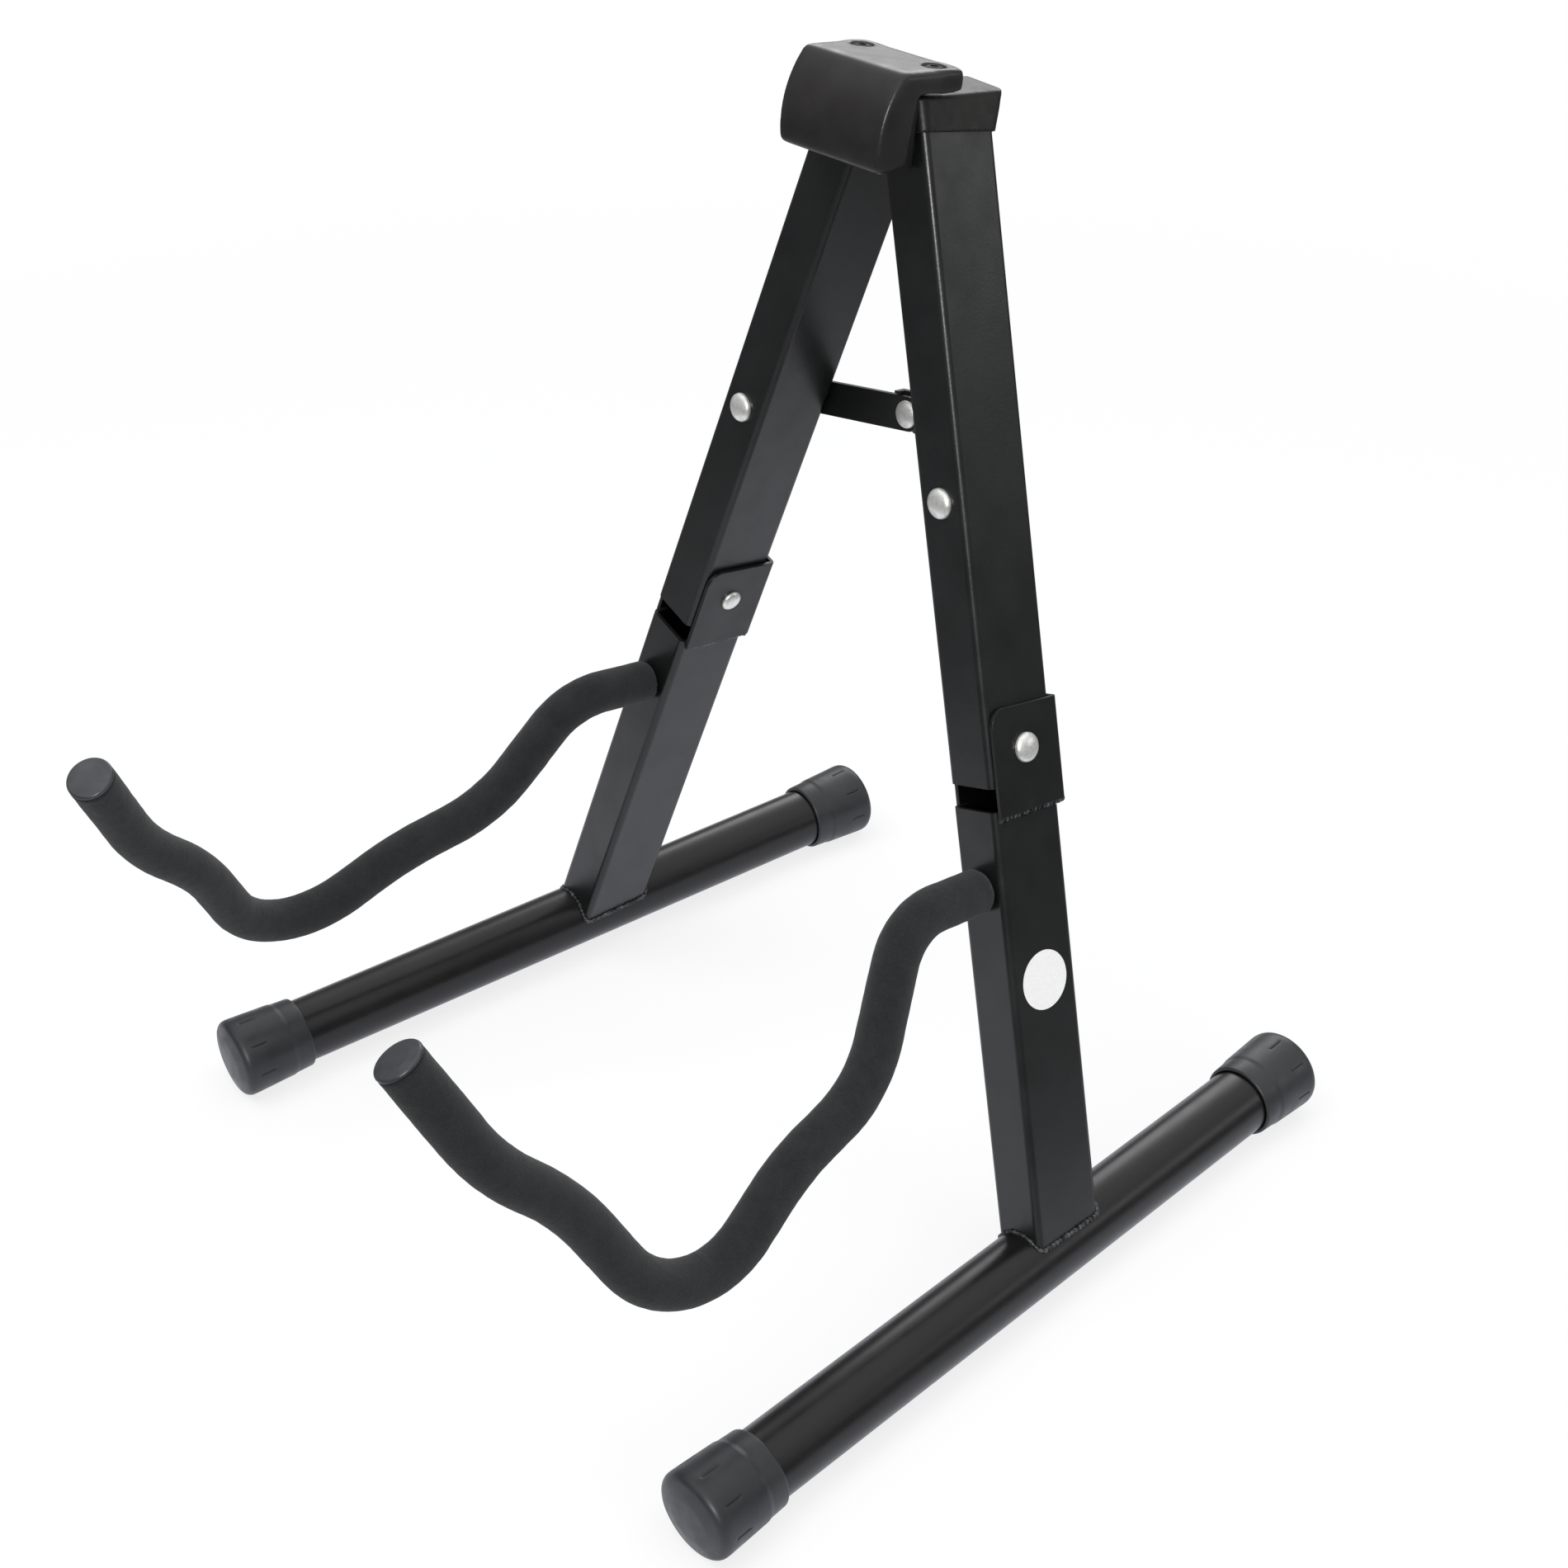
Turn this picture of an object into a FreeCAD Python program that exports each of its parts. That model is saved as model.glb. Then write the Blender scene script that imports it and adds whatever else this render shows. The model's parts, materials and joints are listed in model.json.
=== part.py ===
import FreeCAD, Part
import math
import os
from FreeCAD import Placement, Rotation, Vector

# Folding A-frame guitar stand, in millimetres.
# Z is up, the arms point to -Y and X runs from the left leg to the right leg.
# The origin lies on the floor, below the centre of the stand's bounding box.
# Each leg is built in its own frame: X to the outside, Y to the back, Z up the leg,
# with its origin where the leg's axis crosses the foot tube's axis.

# Stance, in degrees
lean_angle = 7.7          # legs lean back
spread_angle = 18.5       # each leg from the middle plane
fold_angle = 17.0         # travel of each leg from open to closed
toe_angle = 3.7           # foot tubes point outwards at the front
arm_toe_angle = 1.9       # arms turned outwards from the leg's own plane

# Leg tubes
leg_width = 20.0
leg_depth = 30.0
leg_wall = 1.5
leg_corner = 2.5
leg_length = 382.8        # from the foot's axis to the tube's upper end
knuckle_height = 180.3    # knuckle rivet above the foot's axis, along the leg
brace_height = 262.4      # brace rivet above the foot's axis, along the leg
arm_height = 134.0        # arm root above the foot's axis, along the leg
tail_length = 11.1        # upper leg below the knuckle rivet
tail_gap = 0.5            # swing room between the tail's corner and the lower leg

# Leg top caps, level on top, with a lip that widens towards the back
cap_rise = 2.5            # outer top edge above the tube's end
cap_skirt = 8.6           # skirt below the tube's end
cap_side = 0.9
cap_slope = 3.5           # skirt's lower edge falls to the back, in degrees
cap_back = 1.2            # skirt's lower edge past the tube's back
cap_flare_angle = 23.0
cap_fit = 0.1
cap_corner = 3.5

# Foot tubes and rubber caps
foot_dia = 25.0
foot_wall = 1.5
foot_front = 164.0        # tube's front end from the leg's axis
foot_back = 131.5
rubber_length = 30.4
rubber_mouth_dia = 28.8
rubber_end_dia = 31.0
rubber_end = 3.0
rubber_dome = 2.4
rubber_lip = 1.2
rubber_rim = 3.0
rubber_flat = 0.6         # moulded flat under each rubber cap
rubber_fit = 0.1

# Arms
arm_rod_dia = 8.0
foam_dia = 15.5
foam_fit = 0.1
foam_root_gap = 1.5
arm_reach = 225.0         # root to tip, square to the leg
arm_drop = 97.9           # root to the lowest corner of the path, along the leg
cradle_radius = 33.0      # bend of the rod at the lowest corner
arm_reach_shares = (0.160, 0.266, 0.425, 0.642, 0.793, 0.899, 1.0)
arm_rise_shares = (0.0, -0.50, -0.636, -1.0, -0.431, -0.223, 0.194)
arm_bend_shares = (0.60, 0.76, 1.10, 1.0, 1.20, 1.20)
tip_length = 5.0
tip_dome = 1.6
tip_socket = 2.5

# Knuckle brackets and rivets
sheet = 1.6
knuckle_side_gap = 0.25
knuckle_stop_gap = 0.1
knuckle_rise = 15.2       # bracket above the rivet
knuckle_slope = 2.8       # top edge falls to the back, in degrees
knuckle_bend = 0.3        # inside of the sheet's bends
knuckle_setback = 1.2     # wide side's front edge behind the tube's front
knuckle_narrow = 3.8      # narrow side's front edge behind the tube's front
knuckle_weld_lap = 2.0    # bracket over the lower leg
knuckle_corner = 6.0
rivet_dia = 6.0
rivet_head_dia = 10.0
rivet_head_height = 2.8
rivet_fit = 0.05

# Head
pivot_drop = 13.5         # pivots below the height where the caps meet
top_gap = 0.5             # each leg cap from the middle plane
pivot_dia = 6.0
pivot_head_dia = 10.5
pivot_head_height = 2.6
pivot_fit = 0.05
spacer_dia = 8.4
spacer_front = 1.3
spacer_back = 1.0
spacer_play = 0.05
tail_dia = 8.0            # formed tails of the rivets behind the legs
tail_height = 1.2
bracket_sheet = 1.6
bracket_foot = 5.0        # plate below the pivots
flange_reach = 17.0       # flange behind the plate's front
flange_gap = 0.2          # room over the leg caps' corners as they swing
pad_overhang = 2.4        # pad past the leg caps
pad_side_wall = 2.2       # walls that hang down beside the flange
pad_side_fit = 0.3
pad_below = 6.2           # pad below the pivots
pad_over = 2.5            # thickness over the flange
ledge_gap = 0.7           # side walls above the level leg caps
ledge_reach = 18.9        # ledge behind the pad's back face
ledge_round = 2.2
ledge_corner = 3.0
pad_depth = 15.0          # pad's back face to its fullest line
pad_crown = 33.2          # radius of the bulged front
pad_full_rise = 2.4       # fullest line above the pivots
pad_taper = 2.0           # pad's back face leaves the bracket towards the bottom
pad_bottom_rise = 2.0     # bottom face rises to the back
pad_toe = 2.4             # round at the pad's lower front edge
pocket_room = 0.35        # around the rivet heads
pad_screw_x = 16.3
pad_screw_back = 10.9     # behind the pad's back face
pad_screw_well_dia = 7.6
pad_screw_floor = 1.0
pad_screw_dia = 3.5
pad_screw_head_dia = 6.6
pad_screw_head_height = 1.2
pad_screw_end = 2.0       # screw's end below the flange

# Brace
brace_dia = 6.0
brace_rise = 8.7          # centre rivet above the brace rivets
link_width = 12.0
link_sheet = 2.0
link_gap = 0.3
link_fit = 0.06
centre_rivet_dia = 5.0
centre_head_dia = 9.4
centre_head_height = 2.2
joggle_start = 18.0       # right link steps back this far from the centre rivet
joggle_run = 3.0
lug_inner = 2.0           # lug's root past the centre rivet
lug_outer = 6.0           # lug's end over the left link
lug_bent = 2.5            # length of the part that is bent forward
lug_sheet = 1.0

# Round blank label on the right lower leg
label_dia = 20.5
label_sheet = 0.15
label_height = 99.7

overrun = 5.0             # cutters run this far past what they cut
STEP_DIR = "parts"

# Values worked out from the sizes above
half_width = leg_width / 2
half_depth = leg_depth / 2
lean = math.radians(lean_angle)
spread = math.radians(spread_angle)
foot_radius = foot_dia / 2
foot_axis_height = rubber_end_dia / 2 - rubber_flat
cap_half = half_width + cap_side
meet_height = leg_length + cap_rise
pivot_height = meet_height - pivot_drop
pivot_x = top_gap + math.sin(spread) * pivot_drop + math.cos(spread) * cap_half
gauge = pivot_x + math.sin(spread) * pivot_height
tail_end = knuckle_height - tail_length
tail_swing = math.hypot(half_depth, tail_length)
lower_top = knuckle_height - tail_swing - tail_gap
knuckle_half = half_width + knuckle_side_gap + sheet
pivot_v = math.cos(spread) * pivot_height
cap_level = math.cos(spread) * meet_height + math.sin(spread) * cap_half
cap_corner_x = gauge - math.sin(spread) * meet_height + math.cos(spread) * cap_half
pad_half = cap_corner_x + pad_overhang
ledge_low = cap_level + ledge_gap
swing = math.radians(fold_angle)
flange_low = (pivot_v + math.sin(swing) * (pivot_x - top_gap)
              + math.cos(swing) * (cap_level - pivot_v) + flange_gap)
flange_high = flange_low + bracket_sheet
ledge_top = flange_high + pad_over
flange_half = pad_half - pad_side_wall - pad_side_fit
plate_y = -half_depth - spacer_front
pad_y = plate_y - bracket_sheet
ledge_back = pad_y + ledge_reach
crown_y = pad_y - pad_depth + pad_crown
crown_v = pivot_v + pad_full_rise
brace_x = pivot_x + math.sin(spread) * (pivot_height - brace_height)
brace_v = math.cos(spread) * brace_height
link_length = math.hypot(brace_x, brace_rise)
link_angle = math.degrees(math.atan2(brace_rise, brace_x))
link_front_y = half_depth + link_gap
link_back_y = link_front_y + link_sheet + link_gap
UP = Vector(0, 0, 1)
ACROSS = Vector(1, 0, 0)
BACK = Vector(0, 1, 0)

leg_place = Placement(Vector(gauge, 0, foot_axis_height),
                      Rotation(ACROSS, -lean_angle) * Rotation(BACK, -spread_angle))
frame_place = Placement(Vector(0, 0, foot_axis_height), Rotation(ACROSS, -lean_angle))
foot_place = Placement(Vector(gauge, 0, foot_axis_height), Rotation(UP, toe_angle))


def placed(shape, place):
    """A copy of the shape, moved from its own frame into the stand's frame."""
    moved = shape.copy()
    moved.transformShape(place.toMatrix(), True)
    return moved


def mirrored(shape):
    """The same piece on the left side."""
    return shape.mirror(Vector(0, 0, 0), ACROSS)


def block(low, high):
    """A box between two corners."""
    return Part.makeBox(high.x - low.x, high.y - low.y, high.z - low.z, low)


def rod(start, direction, length, diameter):
    """A solid cylinder."""
    return Part.makeCylinder(diameter / 2, length, start, direction)


def ring(start, direction, length, outer, inner):
    """A washer, spacer or sleeve."""
    return rod(start, direction, length, outer).cut(rod(start, direction, length, inner))


def rounded_outline(half_x, half_y, radius, z, shift_y=0):
    """A rectangle with round corners, at height z."""
    points = []
    for turn, (sx, sy) in enumerate(((1, 1), (-1, 1), (-1, -1), (1, -1))):
        centre = Vector(sx * (half_x - radius), sy * (half_y - radius) + shift_y, z)
        for step in range(3):
            angle = math.radians(90 * turn + 45 * step)
            points.append(centre + Vector(math.cos(angle), math.sin(angle), 0) * radius)
    edges = []
    for turn in range(4):
        first, middle, last = points[3 * turn:3 * turn + 3]
        edges.append(Part.Arc(first, middle, last).toShape())
        edges.append(Part.LineSegment(last, points[(3 * turn + 3) % len(points)]).toShape())
    return Part.Wire(edges)


def bar(half_x, half_y, radius, low, high):
    """A solid rectangular bar with round long edges, up the leg."""
    outline = rounded_outline(half_x, half_y, radius, low)
    return Part.Face(outline).extrude(Vector(0, 0, high - low))


def leg_tube(low, high):
    """A length of the rectangular leg tube."""
    outer = bar(half_width, half_depth, leg_corner, low, high)
    inner = bar(half_width - leg_wall, half_depth - leg_wall, leg_corner - leg_wall,
                low - overrun, high + overrun)
    return outer.cut(inner)


def turned(points, direction, start):
    """A solid of revolution from (radius, distance) points, along a direction."""
    corners = [Vector(r, 0, d) for r, d in points]
    face = Part.Face(Part.makePolygon(corners + corners[:1]))
    solid = face.revolve(Vector(0, 0, 0), UP, 360)
    return placed(solid, Placement(start, Rotation(UP, direction)))


def domed_head(start, direction, diameter, height):
    """A round head with a short straight rim and a ball-shaped top."""
    radius = diameter / 2
    rim = height / 4
    crown = height - rim
    ball = (radius * radius + crown * crown) / (2 * crown)
    middle = ball * math.sin(math.asin(radius / ball) / 2)
    middle_height = height - ball + math.sqrt(ball * ball - middle * middle)
    arc = Part.Arc(Vector(radius, 0, rim), Vector(middle, 0, middle_height),
                   Vector(0, 0, height)).toShape()
    line = Part.makePolygon([Vector(0, 0, height), Vector(0, 0, 0), Vector(radius, 0, 0),
                             Vector(radius, 0, rim)])
    solid = Part.Face(Part.Wire([arc] + line.Edges)).revolve(Vector(0, 0, 0), UP, 360)
    return placed(solid, Placement(start, Rotation(UP, direction)))


def upper_leg():
    """Upper leg tube, with a round tail that swings inside the knuckle bracket."""
    tube = leg_tube(tail_end, leg_length)
    hinge = Vector(-half_width - overrun, 0, knuckle_height)
    through = leg_width + 2 * overrun
    tube = tube.cut(rod(hinge, ACROSS, through, rivet_dia + 2 * rivet_fit))
    corner = block(Vector(-half_width - overrun, 0, tail_end - overrun),
                   Vector(half_width + overrun, half_depth + overrun, knuckle_height))
    corner = corner.cut(rod(hinge, ACROSS, through, leg_depth))
    tube = tube.cut(corner)
    for height, bore in ((brace_height, brace_dia),
                         (pivot_height, pivot_dia + 2 * pivot_fit)):
        front = Vector(0, -half_depth - overrun, height)
        tube = tube.cut(rod(front, BACK, leg_depth + 2 * overrun, bore))
    return tube


def leg_cap():
    """Plastic cap over the leg's top: level on top, cut off at the middle plane."""
    low = leg_length - cap_skirt
    high = leg_length + leg_width
    outlines = []
    for height in (low, high):
        back = half_depth + cap_back + math.tan(math.radians(cap_flare_angle)) * (height - low)
        front = half_depth + cap_side
        outlines.append(rounded_outline(cap_half, (front + back) / 2, cap_corner, height,
                                        (back - front) / 2))
    outlines[0].rotate(Vector(0, 0, low), ACROSS, -cap_slope)
    outer = Part.makeLoft(outlines, True, True)
    inner = bar(half_width + cap_fit, half_depth + cap_fit, leg_corner, low - overrun, leg_length)
    relief = rod(Vector(0, -half_depth - overrun, pivot_height), BACK, leg_depth + 2 * overrun,
                 spacer_dia + 2 * pocket_room)
    cap = placed(outer.cut(inner).cut(relief), leg_place)
    reach = gauge + leg_length
    above = block(Vector(-reach, -reach, cap_level), Vector(reach, reach, cap_level + reach))
    beside = block(Vector(-reach, -reach, -reach), Vector(top_gap, reach, reach))
    return cap.cut(placed(above.fuse(beside), frame_place))


def lower_leg():
    """Lower leg tube, cut to sit over the round foot tube."""
    tube = leg_tube(foot_radius / 4, lower_top)
    foot = placed(foot_bar(foot_dia), foot_place)
    return placed(tube, leg_place).cut(foot)


def foot_bar(diameter):
    """A round bar as long as the foot tube, along the foot."""
    return rod(Vector(0, -foot_front, 0), BACK, foot_front + foot_back, diameter)


def foot_tube():
    """Round foot tube."""
    return foot_bar(foot_dia).cut(foot_bar(foot_dia - 2 * foot_wall))


def rubber_cap():
    """Flared rubber cap, mouth at the origin and end towards +Z."""
    mouth = rubber_mouth_dia / 2
    end = rubber_end_dia / 2
    bore = foot_radius + rubber_fit
    depth = rubber_length - rubber_end - rubber_dome
    shoulder = rubber_length - rubber_dome
    rim = shoulder - rubber_rim
    points = [(bore, 0), (mouth, 0), (mouth, rubber_lip), (end, rim), (end, shoulder - rubber_lip),
              (end - rubber_lip, shoulder), (end / 2, rubber_length - rubber_dome / 4),
              (0, rubber_length), (0, depth), (bore, depth)]
    return turned(points, UP, Vector(0, 0, 0))


def foot_cap(front):
    """A rubber cap on one end of the foot tube, with a small flat on the floor."""
    depth = rubber_length - rubber_end - rubber_dome
    if front:
        place = Placement(Vector(0, depth - foot_front, 0), Rotation(UP, -BACK))
    else:
        place = Placement(Vector(0, foot_back - depth, 0), Rotation(UP, BACK))
    cap = placed(placed(rubber_cap(), place), foot_place)
    reach = foot_front + foot_back + rubber_length
    below = block(Vector(-reach, -reach, -overrun), Vector(reach + gauge, reach, 0))
    return cap.cut(below)


def arm_corners():
    """Corners of the arm rod's path: (square to the leg, up the leg)."""
    corners = [(0, 0)]
    for reach, rise in zip(arm_reach_shares, arm_rise_shares):
        corners.append((arm_reach * reach, arm_drop * rise))
    return corners


def arm_spans():
    """Straight and bent spans of the arm rod, as edges in the arm's own plane."""
    corners = [Vector(a, 0, b) for a, b in arm_corners()]
    edges = []
    last = corners[0]
    for before, corner, after, share in zip(corners, corners[1:], corners[2:], arm_bend_shares):
        into = (corner - before).normalize()
        out = (after - corner).normalize()
        turn = into.getAngle(out)
        radius = cradle_radius * share
        run = radius * math.tan(turn / 2)
        start = corner - into * run
        end = corner + out * run
        inward = (out - into).normalize()
        middle = corner + inward * (radius / math.cos(turn / 2) - radius)
        edges.append(Part.LineSegment(last, start).toShape())
        edges.append(Part.Arc(start, middle, end).toShape())
        last = end
    edges.append(Part.LineSegment(last, corners[-1]).toShape())
    return edges


def arm_sleeve(edges, diameter):
    """A round bar swept along the spans."""
    start = edges[0].Vertexes[0].Point
    along = edges[0].tangentAt(edges[0].FirstParameter)
    circle = Part.Wire([Part.makeCircle(diameter / 2, start, along)])
    return Part.Wire(edges).makePipeShell([circle], True, False)


def trimmed(edges, at_root, at_tip):
    """The spans without a length at the root and a length at the tip."""
    root = edges[0].Vertexes[0].Point
    root_along = edges[0].tangentAt(edges[0].FirstParameter)
    tip = edges[-1].Vertexes[1].Point
    tip_along = edges[-1].tangentAt(edges[-1].LastParameter)
    first = Part.LineSegment(root + root_along * at_root, edges[0].Vertexes[1].Point).toShape()
    last = Part.LineSegment(edges[-1].Vertexes[0].Point, tip - tip_along * at_tip).toShape()
    return [first] + edges[1:-1] + [last]


def arm_pieces():
    """Steel rod, foam sleeve and tip cap of one arm, in the arm's own plane."""
    edges = arm_spans()
    tip = edges[-1].Vertexes[1].Point
    along = edges[-1].tangentAt(edges[-1].LastParameter)
    steel = arm_sleeve(trimmed(edges, 0, tip_length - tip_socket), arm_rod_dia)
    foam_edges = trimmed(edges, foam_root_gap, tip_length)
    foam = arm_sleeve(foam_edges, foam_dia).cut(arm_sleeve(foam_edges, arm_rod_dia + 2 * foam_fit))
    radius = foam_dia / 2
    bore = arm_rod_dia / 2 + foam_fit
    edge = tip_length - tip_dome
    points = [(bore, 0), (radius, 0), (radius, edge), (radius * math.cos(math.pi / 6), edge + tip_dome / 2),
              (radius / 2, tip_length - tip_dome / 8), (0, tip_length), (0, tip_socket), (bore, tip_socket)]
    cap = turned(points, along, tip - along * tip_length)
    return steel, foam, cap


def arm_placed(shape):
    """Sets an arm piece on the front of the lower leg."""
    turn = Rotation(UP, -90 + arm_toe_angle)
    root = Placement(Vector(0, -half_depth, arm_height), turn)
    return placed(placed(shape, root), leg_place)


def knuckle_bracket(narrow):
    """Folded sheet round the knuckle: its narrow side is at -1 or +1 across the leg."""
    low = lower_top - knuckle_weld_lap
    high = knuckle_height + knuckle_rise
    back = half_depth + knuckle_stop_gap
    front = half_depth - knuckle_setback
    fall = math.tan(math.radians(knuckle_slope)) * (front + back + sheet)
    outer = bar(knuckle_half, back + sheet, knuckle_bend + sheet, low, high)
    inner = bar(knuckle_half - sheet, back, knuckle_bend, low - overrun, high + overrun)
    open_front = block(Vector(-knuckle_half + sheet, -back - sheet - overrun, low - overrun),
                       Vector(knuckle_half - sheet, 0, high + overrun))
    start = -knuckle_half - overrun
    across = 2 * (knuckle_half + overrun)
    side = Part.Face(Part.makePolygon([
        Vector(start, -front, low), Vector(start, -front, high),
        Vector(start, back + sheet, high - fall), Vector(start, back + sheet, low),
        Vector(start, -front, low)])).extrude(ACROSS * across)
    nose = high - knuckle_corner
    corner = block(Vector(start, -front, nose), Vector(-start, knuckle_corner - front, high))
    corner = corner.cut(rod(Vector(start, knuckle_corner - front, nose), ACROSS, across,
                            2 * knuckle_corner))
    edges = sorted((0, narrow * (knuckle_half + overrun)))
    trim = block(Vector(edges[0], -back - sheet, low - overrun),
                 Vector(edges[1], knuckle_narrow - half_depth, high + overrun))
    pin = rod(Vector(start, 0, knuckle_height), ACROSS, across, rivet_dia)
    return outer.cut(inner).cut(open_front).common(side).cut(corner).cut(trim).cut(pin)


def knuckle_rivet():
    """Rivet across the knuckle, with a domed head on each side."""
    start = Vector(-knuckle_half, 0, knuckle_height)
    end = Vector(knuckle_half, 0, knuckle_height)
    body = rod(start, ACROSS, 2 * knuckle_half, rivet_dia)
    for point, direction in ((start, -ACROSS), (end, ACROSS)):
        body = body.fuse(domed_head(point, direction, rivet_head_dia, rivet_head_height))
    return body.removeSplitter()


def head_bracket():
    """Bent steel angle: a plate in front of the legs and a flange over them."""
    plate = block(Vector(-flange_half, pad_y, pivot_v - bracket_foot),
                  Vector(flange_half, plate_y, flange_high))
    flange = block(Vector(-flange_half, pad_y, flange_low),
                   Vector(flange_half, pad_y + flange_reach, flange_high))
    body = plate.fuse(flange).removeSplitter()
    for side in (-1, 1):
        body = body.cut(rod(Vector(side * pivot_x, pad_y - overrun, pivot_v), BACK,
                            bracket_sheet + 2 * overrun, pivot_dia))
        body = body.cut(rod(Vector(side * pad_screw_x, pad_y + pad_screw_back,
                                   flange_low - overrun),
                            UP, bracket_sheet + 2 * overrun, pad_screw_dia))
    return body


def crown_point(v):
    """A point of the pad's bulged front, in its side view."""
    rise = v - crown_v
    return Vector(0, crown_y - math.sqrt(pad_crown * pad_crown - rise * rise), v)


def pad_side_view():
    """Side view of the pad and its ledge, as one closed wire."""
    bottom = pivot_v - pad_below
    upper = crown_point(ledge_top)
    lower = crown_point(bottom)
    corners = [lower, Vector(0, pad_y - pad_taper, bottom + pad_bottom_rise),
               Vector(0, pad_y, ledge_low), Vector(0, ledge_back, ledge_low),
               Vector(0, ledge_back, ledge_top), upper]
    front = Part.Arc(upper, crown_point(crown_v), lower).toShape()
    return Part.Wire(Part.makePolygon(corners).Edges + [front])


def edges_at(body, points):
    """Edges that run across the stand through the given side-view points."""
    found = []
    for edge in body.Edges:
        ends = [vertex.Point for vertex in edge.Vertexes]
        if len(ends) < 2 or abs(ends[0].x - ends[1].x) < pad_half:
            continue
        for point in points:
            if abs(ends[0].y - point.y) < pivot_fit and abs(ends[0].z - point.z) < pivot_fit:
                found.append(edge)
    return found


def head_pad():
    """Moulded pad with a hollow ledge over the bracket, screw wells and rivet pockets."""
    wire = pad_side_view()
    wire.translate(Vector(-pad_half, 0, 0))
    body = Part.Face(wire).extrude(Vector(2 * pad_half, 0, 0))
    body = body.makeFillet(pad_toe, edges_at(body, [crown_point(pivot_v - pad_below)]))
    body = body.makeFillet(ledge_round, edges_at(body, [Vector(0, ledge_back, ledge_top)]))
    deep = pad_depth + ledge_reach
    plan = rounded_outline(pad_half, deep, ledge_corner, pivot_v - deep, ledge_back - deep)
    body = body.common(Part.Face(plan).extrude(UP * (2 * deep)))
    inside = pad_half - pad_side_wall
    body = body.cut(block(Vector(-inside, pad_y, ledge_low - overrun),
                          Vector(inside, ledge_back + overrun, flange_high)))
    for side in (-1, 1):
        well = Vector(side * pad_screw_x, pad_y + pad_screw_back, flange_high)
        body = body.cut(rod(well + UP * pad_screw_floor, UP, pad_over, pad_screw_well_dia))
        body = body.cut(rod(well - UP * overrun, UP, pad_over + overrun, pad_screw_dia))
        rivet = Vector(side * pivot_x, pad_y + overrun, pivot_v)
        depth = pivot_head_height + pocket_room + overrun
        body = body.cut(rod(rivet, -BACK, depth, pivot_head_dia + 2 * pocket_room))
    return body


def pad_screws():
    """Two pan-head screws down through the ledge and the flange."""
    screws = []
    for side in (-1, 1):
        seat = Vector(side * pad_screw_x, pad_y + pad_screw_back, flange_high + pad_screw_floor)
        length = pad_screw_floor + bracket_sheet + pad_screw_end
        shank = rod(seat - UP * length, UP, length, pad_screw_dia)
        head = domed_head(seat, UP, pad_screw_head_dia, pad_screw_head_height)
        screws.append(shank.fuse(head).removeSplitter())
    return Part.makeCompound(screws)


def rivet(seat, length, diameter, head_dia, head_height):
    """A rivet from front to back: domed head, shank and a low formed tail."""
    shank = rod(seat, BACK, length, diameter)
    head = domed_head(seat, -BACK, head_dia, head_height)
    tail = domed_head(seat + BACK * length, BACK, tail_dia, tail_height)
    return shank.fuse(head).fuse(tail).removeSplitter()


def pivot_rivets():
    """Two rivets through the bracket and the leg tops."""
    length = half_depth + spacer_back - pad_y
    return Part.makeCompound([rivet(Vector(side * pivot_x, pad_y, pivot_v), length, pivot_dia,
                                    pivot_head_dia, pivot_head_height) for side in (-1, 1)])


def pivot_spacers():
    """Spacers in front of the leg tops and washers behind them."""
    rings = []
    for side in (-1, 1):
        rings.append(ring(Vector(side * pivot_x, plate_y, pivot_v), BACK,
                          spacer_front - spacer_play, spacer_dia, pivot_dia))
        rings.append(ring(Vector(side * pivot_x, half_depth + spacer_play, pivot_v), BACK,
                          spacer_back - spacer_play, spacer_dia, pivot_dia))
    return Part.makeCompound(rings)


def brace_rivet():
    """Rivet through the leg that carries one link: its domed head is on the front face."""
    length = half_depth + link_front_y + link_sheet + spacer_play
    return rivet(Vector(0, -half_depth, brace_height), length, brace_dia,
                 rivet_head_dia, rivet_head_height)


def link_place():
    """Place of a link that runs from the right brace rivet up to the middle."""
    return Placement(Vector(brace_x, 0, brace_v), Rotation(BACK, link_angle))


def link_outline(front_y, back_y):
    """Bar with round ends and two holes, from the right brace rivet to the centre rivet."""
    radius = link_width / 2
    depth = back_y - front_y
    body = block(Vector(-link_length, front_y, -radius), Vector(0, back_y, radius))
    for x in (-link_length, 0):
        body = body.fuse(rod(Vector(x, front_y, 0), BACK, depth, link_width))
    body = body.removeSplitter()
    for x, bore in ((-link_length, centre_rivet_dia), (0, brace_dia + 2 * link_fit)):
        body = body.cut(rod(Vector(x, front_y - overrun, 0), BACK, depth + 2 * overrun, bore))
    return body


def brace_link_left():
    """Left link: a flat bar in the front layer."""
    plate = link_outline(link_front_y, link_front_y + link_sheet)
    return mirrored(placed(plate, link_place()))


def joggled_band():
    """Seen from above, a band that runs in the front layer and steps to the rear one."""
    near = -link_length + joggle_start
    far = near + joggle_run
    end = link_width
    front = [Vector(end, link_front_y, 0), Vector(far, link_front_y, 0),
             Vector(near, link_back_y, 0), Vector(-link_length - end, link_back_y, 0)]
    back = [point + BACK * link_sheet for point in reversed(front)]
    band = Part.Face(Part.makePolygon(front + back + front[:1]))
    return band.extrude(UP * (2 * link_width)).translated(-UP * link_width)


def stop_lug():
    """Lug of the right link, bent forward over the left link's upper edge as its stop."""
    radius = link_width / 2
    low = radius + link_gap
    outer = -link_length + lug_outer
    root = block(Vector(-link_length - lug_inner, link_back_y, radius / 2),
                 Vector(outer, link_back_y + link_sheet, low + lug_sheet))
    bent = block(Vector(outer - lug_bent, link_front_y, low),
                 Vector(outer, link_back_y + link_sheet, low + lug_sheet))
    return mirrored(placed(root.fuse(bent), link_place()))


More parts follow.
